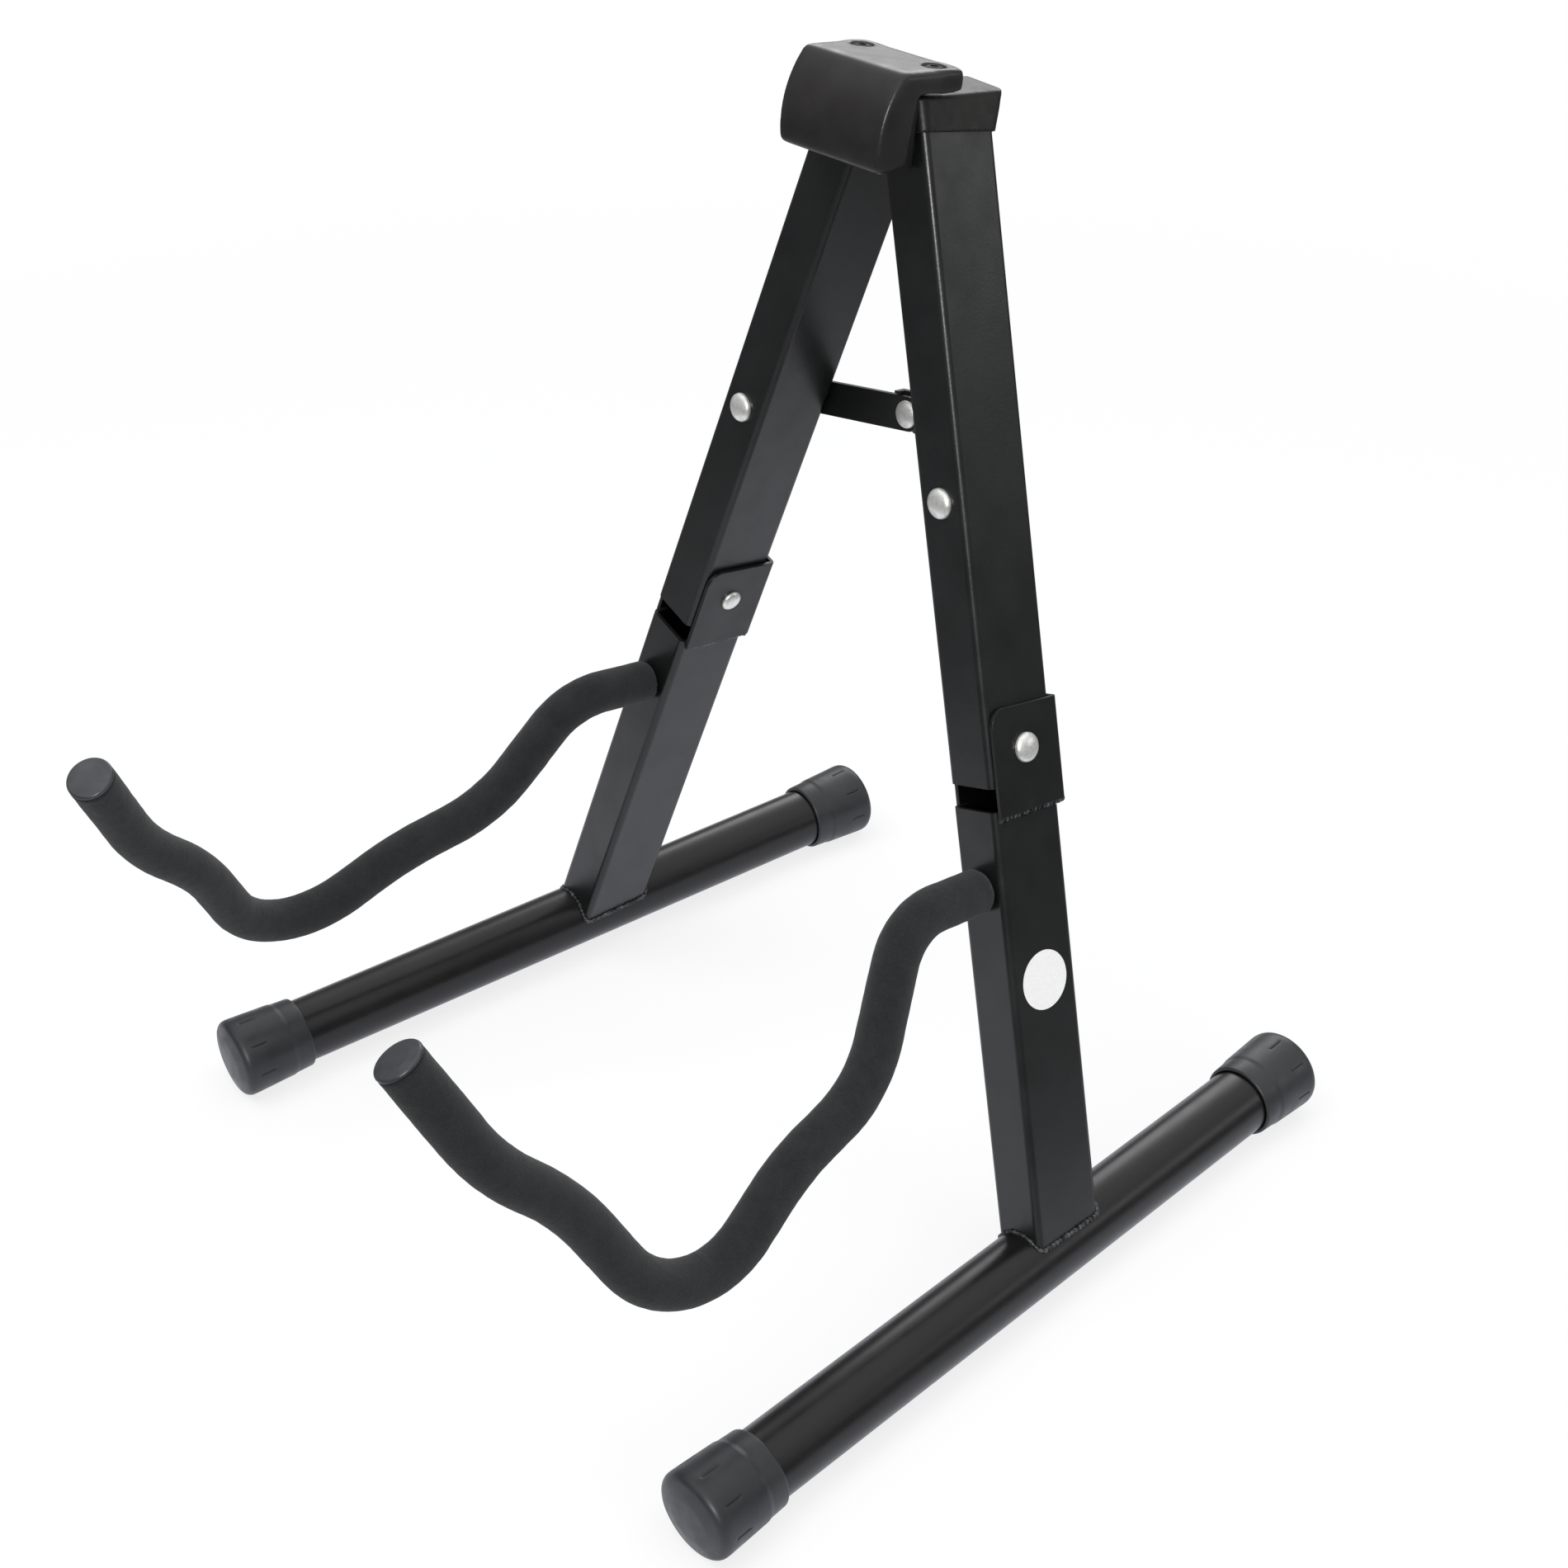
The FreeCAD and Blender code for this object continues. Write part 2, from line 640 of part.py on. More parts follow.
def brace_link_right():
    """Right link, stepped back near the middle to pass behind the left one."""
    plate = link_outline(link_front_y, link_back_y + link_sheet).common(joggled_band())
    hole = rod(Vector(0, link_front_y - overrun, brace_v + brace_rise), BACK,
               link_back_y + link_sheet + overrun, centre_rivet_dia)
    return placed(plate, link_place()).fuse(stop_lug()).removeSplitter().cut(hole)


def centre_rivet(front):
    """One half of the centre rivet: the joint between the links is open here."""
    middle = Vector(0, 0, brace_v + brace_rise)
    if front:
        seat = middle + BACK * link_front_y
        outward = -BACK
    else:
        seat = middle + BACK * (link_back_y + link_sheet)
        outward = BACK
    shank = rod(seat, -outward, link_sheet, centre_rivet_dia)
    head = domed_head(seat, outward, centre_head_dia, centre_head_height)
    return shank.fuse(head).removeSplitter()


def label():
    """Thin round blank label on the outer side of the lower leg."""
    return rod(Vector(half_width, 0, label_height), ACROSS, label_sheet, label_dia)


def build():
    """All pieces by name, in the stand's frame."""
    head = {"head_bracket": head_bracket(),
            "head_pad": head_pad(),
            "pad_screws": pad_screws(),
            "pivot_rivets": pivot_rivets(),
            "pivot_spacers": pivot_spacers(),
            "brace_link_right": brace_link_right(),
            "brace_link_left": brace_link_left(),
            "centre_rivet_front": centre_rivet(True),
            "centre_rivet_back": centre_rivet(False)}
    pieces = {name: placed(shape, frame_place) for name, shape in head.items()}
    steel, foam, tip = arm_pieces()
    twins = {"upper_leg": placed(upper_leg(), leg_place),
             "leg_cap": leg_cap(),
             "lower_leg": lower_leg(),
             "foot_tube": placed(foot_tube(), foot_place),
             "foot_cap_front": foot_cap(True),
             "foot_cap_back": foot_cap(False),
             "arm_rod": arm_placed(steel),
             "arm_foam": arm_placed(foam),
             "arm_tip": arm_placed(tip),
             "brace_rivet": placed(brace_rivet(), leg_place),
             "knuckle_rivet": placed(knuckle_rivet(), leg_place)}
    for name, shape in twins.items():
        pieces[name + "_right"] = shape
        pieces[name + "_left"] = mirrored(shape)
    pieces["knuckle_bracket_right"] = placed(knuckle_bracket(-1), leg_place)
    pieces["knuckle_bracket_left"] = mirrored(placed(knuckle_bracket(1), leg_place))
    pieces["label"] = placed(label(), leg_place)
    return pieces


def centred(pieces):
    """Moves the stand so that the origin is below the centre of its bounding box."""
    box = Part.makeCompound(list(pieces.values())).BoundBox
    shift = Vector(0, -box.Center.y, 0)
    for shape in pieces.values():
        shape.translate(shift)
    return shift


def report_joints(shift):
    """Prints the pivots and the links' travel, for the motion data."""
    closed = math.radians(spread_angle - fold_angle)
    closed_x = pivot_x + math.sin(closed) * (pivot_height - brace_height)
    link_travel = math.degrees(math.acos(closed_x / link_length)) - link_angle
    print("link travel against the leg", round(link_travel - fold_angle, 4),
          "ratio", round((link_travel - fold_angle) / fold_angle, 6))
    for name, place, point in (("spread", frame_place, Vector(pivot_x, 0, pivot_v)),
                               ("link", leg_place, Vector(0, 0, brace_height)),
                               ("knuckle", leg_place, Vector(0, 0, knuckle_height))):
        where = place.multVec(point) + shift
        print(name, "pivot", [round(value / 1000, 6) for value in where])
    print("pivot axis", [round(value, 6) for value in frame_place.Rotation.multVec(BACK)])
    print("knuckle axis", [round(value, 6) for value in leg_place.Rotation.multVec(ACROSS)])
    print("shift", round(shift.y, 4), "pivot_x", round(pivot_x, 3), "gauge", round(gauge, 3))


os.makedirs(STEP_DIR, exist_ok=True)
stand = build()
moved_by = centred(stand)
for node in sorted(stand):
    stand[node].exportStep(os.path.join(STEP_DIR, node + ".step"))
    box = stand[node].BoundBox
    print(node, "solids", len(stand[node].Solids), "valid", stand[node].isValid(),
          "volume", round(stand[node].Volume, 1))
report_joints(moved_by)
whole = Part.makeCompound(list(stand.values())).BoundBox
print("size", round(whole.XLength, 2), round(whole.YLength, 2), round(whole.ZLength, 2),
      "lowest", round(whole.ZMin, 3))
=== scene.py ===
# %% [markdown]
# # Dressing a folding guitar stand
#
# The stand's solids come from a CAD program and are loaded here as a fixed frame.
# This lesson gives each piece the form and finish of the real thing: powder-coated
# tubes with soft corners, weld beads, zinc rivets, foam sleeves on the arms, rubber
# feet and a moulded pad on top. Lengths are written in millimetres and turned into
# metres by one small factor, because Blender's unit here is the metre.

# %% Load the stand
import bmesh
import bpy
import json
import math
from mathutils import Matrix, Vector


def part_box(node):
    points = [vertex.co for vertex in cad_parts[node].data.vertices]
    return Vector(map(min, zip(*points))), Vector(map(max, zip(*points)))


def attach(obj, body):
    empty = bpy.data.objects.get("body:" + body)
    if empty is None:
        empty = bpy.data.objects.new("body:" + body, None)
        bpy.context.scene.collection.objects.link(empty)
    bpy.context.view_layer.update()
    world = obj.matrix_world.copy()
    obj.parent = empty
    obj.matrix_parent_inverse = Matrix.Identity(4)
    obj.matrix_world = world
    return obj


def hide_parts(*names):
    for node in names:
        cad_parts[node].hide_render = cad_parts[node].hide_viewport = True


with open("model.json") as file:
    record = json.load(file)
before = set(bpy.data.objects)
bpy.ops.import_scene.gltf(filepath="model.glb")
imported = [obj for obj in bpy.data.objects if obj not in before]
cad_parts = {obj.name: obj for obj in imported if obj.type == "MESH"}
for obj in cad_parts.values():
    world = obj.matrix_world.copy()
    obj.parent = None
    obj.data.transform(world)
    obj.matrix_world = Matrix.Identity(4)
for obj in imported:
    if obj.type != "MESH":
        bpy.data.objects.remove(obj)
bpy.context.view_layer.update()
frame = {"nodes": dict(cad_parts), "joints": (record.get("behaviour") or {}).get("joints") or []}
MM = 0.001

# %% [markdown]
# ## Where each leg lies
#
# Both legs lean back and spread, so it is awkward to model on them in world axes.
# The joints already say how they lie: the knuckle's hinge runs across the leg, and
# the head's hinge runs from front to back. The third axis points up the leg. With
# these three a detail is drawn in plain leg coordinates and moved onto the leg.

# %% The right leg's own frame
KNUCKLE_HEIGHT = 180.3     # knuckle hinge above the foot's axis, along the leg
ARM_HEIGHT = 134.0         # arm root above the foot's axis, along the leg
LABEL_HEIGHT = 99.7        # label's middle, along the leg
TOE = math.radians(3.7)    # foot tubes point outwards at the front
HALF_WIDTH = 10.0          # half the leg tube's section, across and from front to back
HALF_DEPTH = 15.0
FOOT_RADIUS = 12.5

joints = {joint["name"]: joint for joint in frame["joints"]}
leg_back = Vector(joints["leg_spread_right"]["axis"])
leg_across = -Vector(joints["knee_right"]["axis"])
leg_up = leg_across.cross(leg_back).normalized()
knuckle = Vector(joints["knee_right"]["pos_m"])
leg_foot = knuckle - leg_up * KNUCKLE_HEIGHT * MM
leg_frame = Matrix((leg_across, leg_back, leg_up)).transposed().to_4x4()
leg_frame.translation = leg_foot
foot_frame = Matrix.Translation(leg_foot) @ Matrix.Rotation(TOE, 4, "Z")
print("right leg's foot at", [round(value / MM, 1) for value in leg_foot])


# %% [markdown]
# ## Turning a mesh into a piece
#
# Every piece ends the same way. Its mesh holds its place, it takes one material, and
# faces that meet at a shallow angle are shaded as one smooth surface. A helper does
# that, so that no piece is forgotten. The stand's left side mirrors its right one,
# so a second helper makes both from one mesh.

# %% Helpers that finish a piece
SMOOTH_BELOW = math.radians(32)
scene = bpy.context.scene
made = []


def as_piece(mesh, name, finish, body, replaces=()):
    mesh.name = name
    mesh.materials.clear()
    mesh.materials.append(finish.material)
    for face in mesh.polygons:
        face.use_smooth = True
        face.material_index = 0
    mesh.set_sharp_from_angle(angle=SMOOTH_BELOW)
    piece = bpy.data.objects.new(name, mesh)
    scene.collection.objects.link(piece)
    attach(piece, body)
    if replaces:
        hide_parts(*replaces)
    made.append(name)
    return piece


def mesh_of(shape):
    mesh = bpy.data.meshes.new("shape")
    shape.to_mesh(mesh)
    shape.free()
    return mesh


def mirrored(mesh):
    """The same mesh on the left side, with its faces still pointing outwards."""
    shape = bmesh.new()
    shape.from_mesh(mesh)
    shape.transform(Matrix.Diagonal((-1, 1, 1, 1)))
    bmesh.ops.reverse_faces(shape, faces=shape.faces)
    return mesh_of(shape)


def as_pair(mesh, name, finish, body, node):
    """A piece and its mirror image; braces in a name stand for the side."""
    for side, half in (("right", mesh), ("left", mirrored(mesh))):
        as_piece(half, name.format(side), finish, body.format(side),
                 [node.format(side)])


# %% Helpers that carry out a modifier
def held(mesh):
    """An object that holds a mesh while modifiers work on it."""
    holder = bpy.data.objects.new("holder", mesh)
    scene.collection.objects.link(holder)
    return holder


def modify(holder, kind, **settings):
    modifier = holder.modifiers.new(kind, kind)
    for key, value in settings.items():
        setattr(modifier, key, value)
    return modifier


def evaluated(holder):
    """A plain mesh of an object with its modifiers carried out; the object goes."""
    depsgraph = bpy.context.evaluated_depsgraph_get()
    mesh = bpy.data.meshes.new_from_object(holder.evaluated_get(depsgraph))
    bpy.data.objects.remove(holder)
    return mesh


# %% [markdown]
# ## The camera
#
# The camera stands in front of the stand on its right side, a little above the top,
# and looks down at it. Its place and lens come from matching the stand's corners
# with the picture, so a corner in the model falls on the same corner there.

# %% Camera
CAMERA_PLACE = Vector((525.2, -394.125, 589.1)) * MM
YAW = math.radians(50.61)
PITCH = math.radians(-33.23)
ROLL = math.radians(-1.09)
LENS = 52.87
SENSOR = 36

forward = Vector((-math.sin(YAW) * math.cos(PITCH), math.cos(YAW) * math.cos(PITCH),
                  math.sin(PITCH)))
level = Vector((math.cos(YAW), math.sin(YAW), 0))
upright = level.cross(forward)
right = level * math.cos(ROLL) + upright * math.sin(ROLL)
above = upright * math.cos(ROLL) - level * math.sin(ROLL)
camera_data = bpy.data.cameras.new("camera")
camera_data.lens = LENS
camera_data.sensor_width = SENSOR
camera_data.clip_start = 0.01
camera = bpy.data.objects.new("camera", camera_data)
camera.matrix_world = Matrix.Translation(CAMERA_PLACE) @ Matrix(
    (right, above, -forward)).transposed().to_4x4()
scene.collection.objects.link(camera)
scene.camera = camera
print("camera", [round(value, 3) for value in CAMERA_PLACE], "lens", LENS)

# %% [markdown]
# ## Floor, surroundings and lamps
#
# A black object is seen by what it mirrors. The real one stands on a white sweep that
# is lit as a pool: the faces that lean over it mirror it and look grey, and those
# that look out past it stay nearly black. So the floor and the surroundings are white
# for the camera. Mirrored rays see them as white, or a very slightly cool white, close
# by and high up, and fading to grey far out and low down, as a studio fades beyond its
# lamps. The light that falls on the stand is a weaker plain grey. The floor mixes its
# white with a painted surface, which is what keeps a faint shadow under the feet.
# A few helpers come first, which make a node and link it in one line.

# %% Helpers for nodes
WHITE = (1, 1, 1, 1)


def connect(tree, value, socket):
    """Links an output to the socket, or types a plain value into it."""
    value = getattr(value, "output", value)
    if isinstance(value, bpy.types.NodeSocket):
        tree.links.new(value, socket)
    else:
        socket.default_value = value


def add_node(tree, kind, settings=(), **inputs):
    """A node with its settings, and its inputs linked or typed in by name."""
    node = tree.nodes.new(kind)
    for key, value in dict(settings).items():
        setattr(node, key, value)
    for key, value in inputs.items():
        connect(tree, value, node.inputs[key.replace("_", " ")])
    return node


def add_math(tree, operation, first, second=0.0):
    node = add_node(tree, "ShaderNodeMath", {"operation": operation})
    for socket, value in zip(node.inputs, (first, second)):
        connect(tree, value, socket)
    return node.outputs[0]


def seen_rays(tree):
    """One for camera, glossy and transmission rays, and nought for the rest."""
    path = add_node(tree, "ShaderNodeLightPath").outputs
    seen = add_math(tree, "MAXIMUM", path["Is Camera Ray"], path["Is Glossy Ray"])
    return add_math(tree, "MAXIMUM", seen, path["Is Transmission Ray"])


def fading(tree, measure, near, far, far_level):
    """White for the camera; mirrored rays fade as the measure goes from near to far."""
    fade = add_node(tree, "ShaderNodeMapRange", {"interpolation_type": "SMOOTHSTEP"},
                    Value=measure, From_Min=near, From_Max=far, To_Min=1, To_Max=far_level)
    path = add_node(tree, "ShaderNodeLightPath").outputs
    return add_math(tree, "MAXIMUM", path["Is Camera Ray"], fade.outputs["Result"])


def lit_and_seen(tree, out, share, lit, seen):
    """Ends a tree that shows its second shader in the given share of every ray."""
    mix = add_node(tree, "ShaderNodeMixShader", Fac=share)
    tree.links.new(lit.outputs[0], mix.inputs[1])
    tree.links.new(seen.outputs[0], mix.inputs[2])
    tree.links.new(mix.outputs[0], add_node(tree, out).inputs[0])


# %% Surroundings
SKY_FILL = 0.5             # light from all around
SKY_COLOUR = (0.97, 0.985, 1.0, 1)
HIGH_UP = 0.8              # mirrored rays that climb more steeply see white
LOW_DOWN = 0.25            # and those that climb less see the studio's walls
FAR_WALLS = 0.25           # how bright they see the walls

scene.view_settings.view_transform = "Standard"
world = bpy.data.worlds.new("surroundings")
scene.world = world
world.use_nodes = True
sky = world.node_tree
sky.nodes.clear()
sky_direction = add_node(sky, "ShaderNodeTexCoord").outputs["Generated"]
climb = add_node(sky, "ShaderNodeSeparateXYZ", Vector=sky_direction).outputs["Z"]
sky_light = add_node(sky, "ShaderNodeBackground", Color=SKY_COLOUR, Strength=SKY_FILL)
sky_seen = add_node(sky, "ShaderNodeBackground", Color=WHITE,
                    Strength=fading(sky, climb, HIGH_UP, LOW_DOWN, FAR_WALLS))
lit_and_seen(sky, "ShaderNodeOutputWorld", seen_rays(sky), sky_light, sky_seen)
print("fill", SKY_FILL)

# %% Floor
FLOOR_HALF = 4.0
FLOOR_GREY = (0.9, 0.9, 0.9, 1)
FLOOR_GLOW_SHARE = 0.8     # share of the floor's colour that no shadow darkens
POOL_MIDDLE = (-0.06, 0, 0)
POOL_EDGE = 0.27           # the lit pool starts to fade here, measured from its middle
POOL_END = 0.44
SHADOW_END = 1.1           # beyond this the floor is as white as the surroundings
FAR_FLOOR = 0.12           # how bright a mirrored ray sees the floor past the pool
COOL_WHITE = (0.95, 0.96, 1.05, 1)   # the pool's light as the black coat mirrors it

floor_mesh = bpy.data.meshes.new("floor")
floor_corners = [(x * FLOOR_HALF, y * FLOOR_HALF, 0)
                 for x, y in ((-1, -1), (1, -1), (1, 1), (-1, 1))]
floor_mesh.from_pydata(floor_corners, [], [(0, 1, 2, 3)])
floor = bpy.data.objects.new("floor", floor_mesh)
scene.collection.objects.link(floor)
floor_material = bpy.data.materials.new("floor paint")
floor_material.use_nodes = True
floor_mesh.materials.append(floor_material)
paint = floor_material.node_tree
paint.nodes.clear()
floor_place = add_node(paint, "ShaderNodeTexCoord").outputs["Object"]
measure = add_node(paint, "ShaderNodeVectorMath", {"operation": "DISTANCE"},
                   Vector=floor_place)
measure.inputs[1].default_value = POOL_MIDDLE
distance = measure.outputs["Value"]
unshaded = add_node(paint, "ShaderNodeMapRange", Value=distance, From_Min=SHADOW_END / 2,
                    From_Max=SHADOW_END, To_Min=FLOOR_GLOW_SHARE, To_Max=1)
glow_share = add_math(paint, "MULTIPLY", seen_rays(paint), unshaded.outputs["Result"])
# The glow is a painted pool of light: mirrored rays see it white and slightly cool near the
# stand, fading to grey beyond it.
for_camera = add_node(paint, "ShaderNodeLightPath").outputs["Is Camera Ray"]
tint = add_node(paint, "ShaderNodeMix", {"data_type": "RGBA"}, Factor=for_camera,
                A=COOL_WHITE, B=WHITE)
glow = add_node(paint, "ShaderNodeEmission", Color=tint.outputs["Result"],
                Strength=fading(paint, distance, POOL_EDGE, POOL_END, FAR_FLOOR))
painted = add_node(paint, "ShaderNodeBsdfDiffuse", Color=FLOOR_GREY)
lit_and_seen(paint, "ShaderNodeOutputMaterial", glow_share, painted, glow)
print("floor", 2 * FLOOR_HALF, "m wide")


# %% [markdown]
# The key and the fills light the surfaces and are mirrored in none of them, because a
# mirrored lamp would wash the black out. The glows and the strip do the opposite:
# they only show as a soft sheen on the tubes and as thin lights along their edges.

# %% Lamps
LAMP_TARGET = (0, 0, 0.2)


def softbox(name, place, size, power, target=LAMP_TARGET, lights=True, mirrored=True):
    """A lamp that shines from its place to the target, as light, as a mirrored form
    or as both. Its size is in metres and its power in watts."""
    lamp = bpy.data.lights.new(name, "AREA")
    lamp.shape = "RECTANGLE"
    lamp.size, lamp.size_y = size
    lamp.energy = power
    thing = bpy.data.objects.new(name, lamp)
    thing.location = place
    aim = Vector(target) - Vector(place)
    thing.rotation_euler = aim.to_track_quat("-Z", "Y").to_euler()
    thing.visible_camera = False
    thing.visible_diffuse = lights
    thing.visible_glossy = mirrored
    scene.collection.objects.link(thing)


softbox("key over the front", (-0.2, -0.5, 1.6), (1.2, 1.0), 16, mirrored=False)
softbox("fill overhead", (0.3, 0.4, 1.6), (1.3, 1.0), 9, mirrored=False)
softbox("fill from the right", (1.6, 0.3, 0.7), (1.0, 1.0), 4, mirrored=False)
softbox("glow behind", (-1.0, 1.4, 1.0), (1.4, 0.8), 11, lights=False)
softbox("glow low right", (1.5, 1.6, 0.75), (1.0, 0.45), 2.2, (0.05, 0.05, 0.36),
        lights=False)
softbox("strip light", (1.12, -1.07, 1.0), (0.1, 0.34), 16, (0.03, 0.05, 0.36),
        lights=False)
print("lamps", [light.name for light in bpy.data.lights])


# %% [markdown]
# ## Building finishes from nodes
#
# A finish is a Principled shader whose colour, roughness and bump are driven by
# noise patterns at real sizes. The patterns read Object coordinates, which are metres
# here, so a scale of 1000 gives features about a millimetre wide. Values that are the
# same all over the surface are typed into the shader itself.

# %% Helpers for finishes
def shade(red, green, blue):
    """A linear colour from the 0 to 255 values that it has on screen."""
    values = []
    for level_255 in (red, green, blue):
        level_1 = level_255 / 255
        values.append(level_1 / 12.92 if level_1 < 0.04045
                      else ((level_1 + 0.055) / 1.055) ** 2.4)
    return (*values, 1)


class Finish:
    """A material with one Principled shader and patterns that are added to it."""

    def __init__(self, name, specular, metallic=0.0):
        self.material = bpy.data.materials.new(name)
        self.material.use_nodes = True
        self.tree = self.material.node_tree
        self.shader = self.tree.nodes["Principled BSDF"]
        self.shader.inputs["Specular IOR Level"].default_value = specular
        self.shader.inputs["Metallic"].default_value = metallic
        self.place = self.node("TexCoord").outputs["Object"]
        self.relief = None

    def node(self, kind, settings=(), **inputs):
        return add_node(self.tree, "ShaderNode" + kind, settings, **inputs)

    def grain(self, scale, detail, stretch=None):
        """Soft cloudy noise. A stretch is the pattern's scale along X, Y and Z."""
        place = self.place
        if stretch:
            place = self.node("Mapping", Vector=place, Scale=stretch).outputs["Vector"]
        return self.node("TexNoise", Vector=place, Scale=scale, Detail=detail).outputs["Fac"]

    def cells(self, scale):
        """Round cells, as in foam or a pebbled moulding."""
        return self.node("TexVoronoi", Vector=self.place, Scale=scale).outputs["Distance"]

    def between(self, pattern, low, high, start=0.35, end=0.65):
        """The pattern spread from low to high."""
        return self.node("MapRange", Value=pattern, From_Min=start, From_Max=end,
                         To_Min=low, To_Max=high).outputs["Result"]

    def blend(self, pattern, dark, light, start=0.35, end=0.65):
        """A colour that goes from dark to light with the pattern."""
        ramp = self.node("ValToRGB", Fac=pattern)
        stops = ramp.color_ramp.elements
        stops[0].position, stops[1].position = start, end
        stops[0].color, stops[1].color = shade(*dark), shade(*light)
        return ramp.outputs["Color"]

    def drive(self, socket, source):
        self.tree.links.new(source, self.shader.inputs[socket])

    def colour(self, scale, detail, dark, light, **spread):
        """A colour that drifts in soft clouds between a dark and a light shade."""
        clouds = self.blend(self.grain(scale, detail), dark, light, **spread)
        self.drive("Base Color", clouds)

    def roughness(self, scale, detail, low, high):
        self.drive("Roughness", self.between(self.grain(scale, detail), low, high))

    def bump(self, scale, detail, height_mm):
        self.emboss(self.grain(scale, detail), height_mm)

    def emboss(self, pattern, height_mm):
        """Adds relief on top of what is there; the height is in millimetres."""
        relief = self.node("Bump", Height=pattern, Distance=height_mm * MM)
        if self.relief:
            self.tree.links.new(self.relief, relief.inputs["Normal"])
        self.relief = relief.outputs["Normal"]
        self.drive("Normal", self.relief)


print("finish helpers ready")

# %% [markdown]
# ## Powder coat on the legs
#
# Powder coat is plastic dust melted onto steel. It flows into a satin skin with a
# faint orange peel about a millimetre across and an even finer grit. The mirror part
# is weak, so that the faces that look away from the floor stay near black. Cloudy
# roughness keeps wide flat faces from looking like plain plastic. The foot tubes'
# coat is smoother and glossier, with hardly any peel.

# %% Powder coat
def powder_coat(name, specular, rough_from, rough_to, dark, light):
    finish = Finish(name, specular)
    finish.colour(35, 4, (dark, dark + 1, dark + 1), (light, light + 1, light + 1))
    finish.roughness(90, 5, rough_from, rough_to)
    finish.bump(1100, 2, 0.030)
    finish.bump(4200, 1, 0.006)
    return finish


powder = powder_coat("satin powder coat", 0.46, 0.28, 0.36, 19, 26)
# The brackets' copy is rougher, and darker as painted shade: the real brackets have the legs'
# own colour.
shaded_plate_powder = powder_coat("shaded powder coat on sheet", 0.42, 0.32, 0.42, 15, 20)

# %% Smooth coat on the foot tubes
coat = Finish("smooth foot tube coat", specular=0.44)
coat.colour(30, 3, (11, 11, 11), (16, 16, 15))
coat.roughness(120, 4, 0.27, 0.32)
coat.bump(700, 2, 0.004)
print(powder.material.name, "/", coat.material.name)

# %% [markdown]
# ## Rubber, foam and plastic
#
# The feet are satin rubber, a little bluish, with uneven gloss where the mould was
# dry. The foam is a closed-cell sleeve: very dark, no gloss, with cells well under a
# millimetre that show as a fine speckle. The arm tips are a paler satin rubber. The
# pad on top is smooth satin rubber with a warm cast, and the leg caps are grained
# plastic.

# %% Rubber for the feet
rubber = Finish("foot rubber", specular=0.46)
rubber.colour(60, 5, (31, 34, 36), (40, 43, 45))
rubber.roughness(180, 4, 0.34, 0.46)
rubber.bump(2600, 2, 0.02)
rubber.bump(240, 3, 0.03)

# %% Foam for the arms
CELL_TOPS = (48, 50, 52)

foam = Finish("closed-cell foam", specular=0.14)
foam_cells = foam.cells(2100)
foam_dark = foam.blend(foam.grain(140, 5), (22, 23, 24), (29, 31, 32))
speckle = foam.node("Mix", {"data_type": "RGBA"}, A=foam_dark, B=shade(*CELL_TOPS),
                    Factor=foam.between(foam_cells, 0.0, 0.3, 0.25, 0.7))
foam.drive("Base Color", speckle.outputs["Result"])
foam.roughness(300, 3, 0.86, 0.96)
foam.emboss(foam_cells, 0.09)
foam.bump(420, 4, 0.16)
foam.shader.inputs["Sheen Weight"].default_value = 0.12
foam.shader.inputs["Sheen Roughness"].default_value = 0.6

# %% Arm tips, pad and leg caps
tip_rubber = Finish("arm tip rubber", specular=0.5)
tip_rubber.colour(120, 4, (46, 48, 51), (58, 60, 63))
tip_rubber.roughness(260, 4, 0.28, 0.38)
tip_rubber.bump(1500, 2, 0.012)

pad_rubber = Finish("satin pad rubber", specular=0.34)
pad_rubber.colour(55, 5, (34, 32, 32), (43, 41, 41))
pad_rubber.roughness(150, 5, 0.29, 0.38)
pad_rubber.bump(1900, 2, 0.02)
pad_rubber.bump(150, 3, 0.05)

plastic = Finish("grained cap plastic", specular=0.25)
plastic.colour(70, 4, (24, 24, 23), (30, 30, 29))
plastic.roughness(200, 4, 0.36, 0.46)
plastic.emboss(plastic.cells(1700), 0.02)
print("soft finishes:", [item.name for item in bpy.data.materials])

# %% [markdown]
# ## Metal, welds and the label
#
# The rivets are zinc plated: pale and bright, with a fine grain that blurs what they
# mirror. The welds carry the same coat as the tubes, with light specks spread by noise
# in their colour: painted glints. The two screws have a black oxide skin. The label
# is glossy white paper, blank.

# %% Rivets, welds, screws and label
zinc = Finish("bright zinc", specular=0.5, metallic=0.7)
zinc.colour(900, 4, (222, 222, 218), (242, 242, 238))
zinc.roughness(1600, 5, 0.3, 0.4)
zinc.bump(2600, 2, 0.004)

# The light specks in the bead's colour are painted glints; the dark part is the coat.
weld = Finish("weld coat with painted glints", specular=0.5)
weld.colour(400, 4, (26, 26, 27), (78, 79, 81), start=0.45, end=0.62)
weld.roughness(700, 4, 0.16, 0.34)
weld.bump(1500, 3, 0.12)

oxide = Finish("black oxide", specular=0.16)
oxide.colour(500, 4, (10, 10, 10), (18, 18, 18))
oxide.roughness(900, 4, 0.5, 0.62)
oxide.bump(3000, 2, 0.008)

paper = Finish("blank white label", specular=0.4)
paper.colour(1400, 5, (238, 238, 236), (246, 246, 244))
paper.roughness(300, 3, 0.3, 0.4)
paper.emboss(paper.grain(2200, 4, stretch=(1, 1, 0.3)), 0.01)
paper.shader.inputs["Coat Weight"].default_value = 0.3
print("metal finishes:", zinc.material.name, weld.material.name, oxide.material.name)


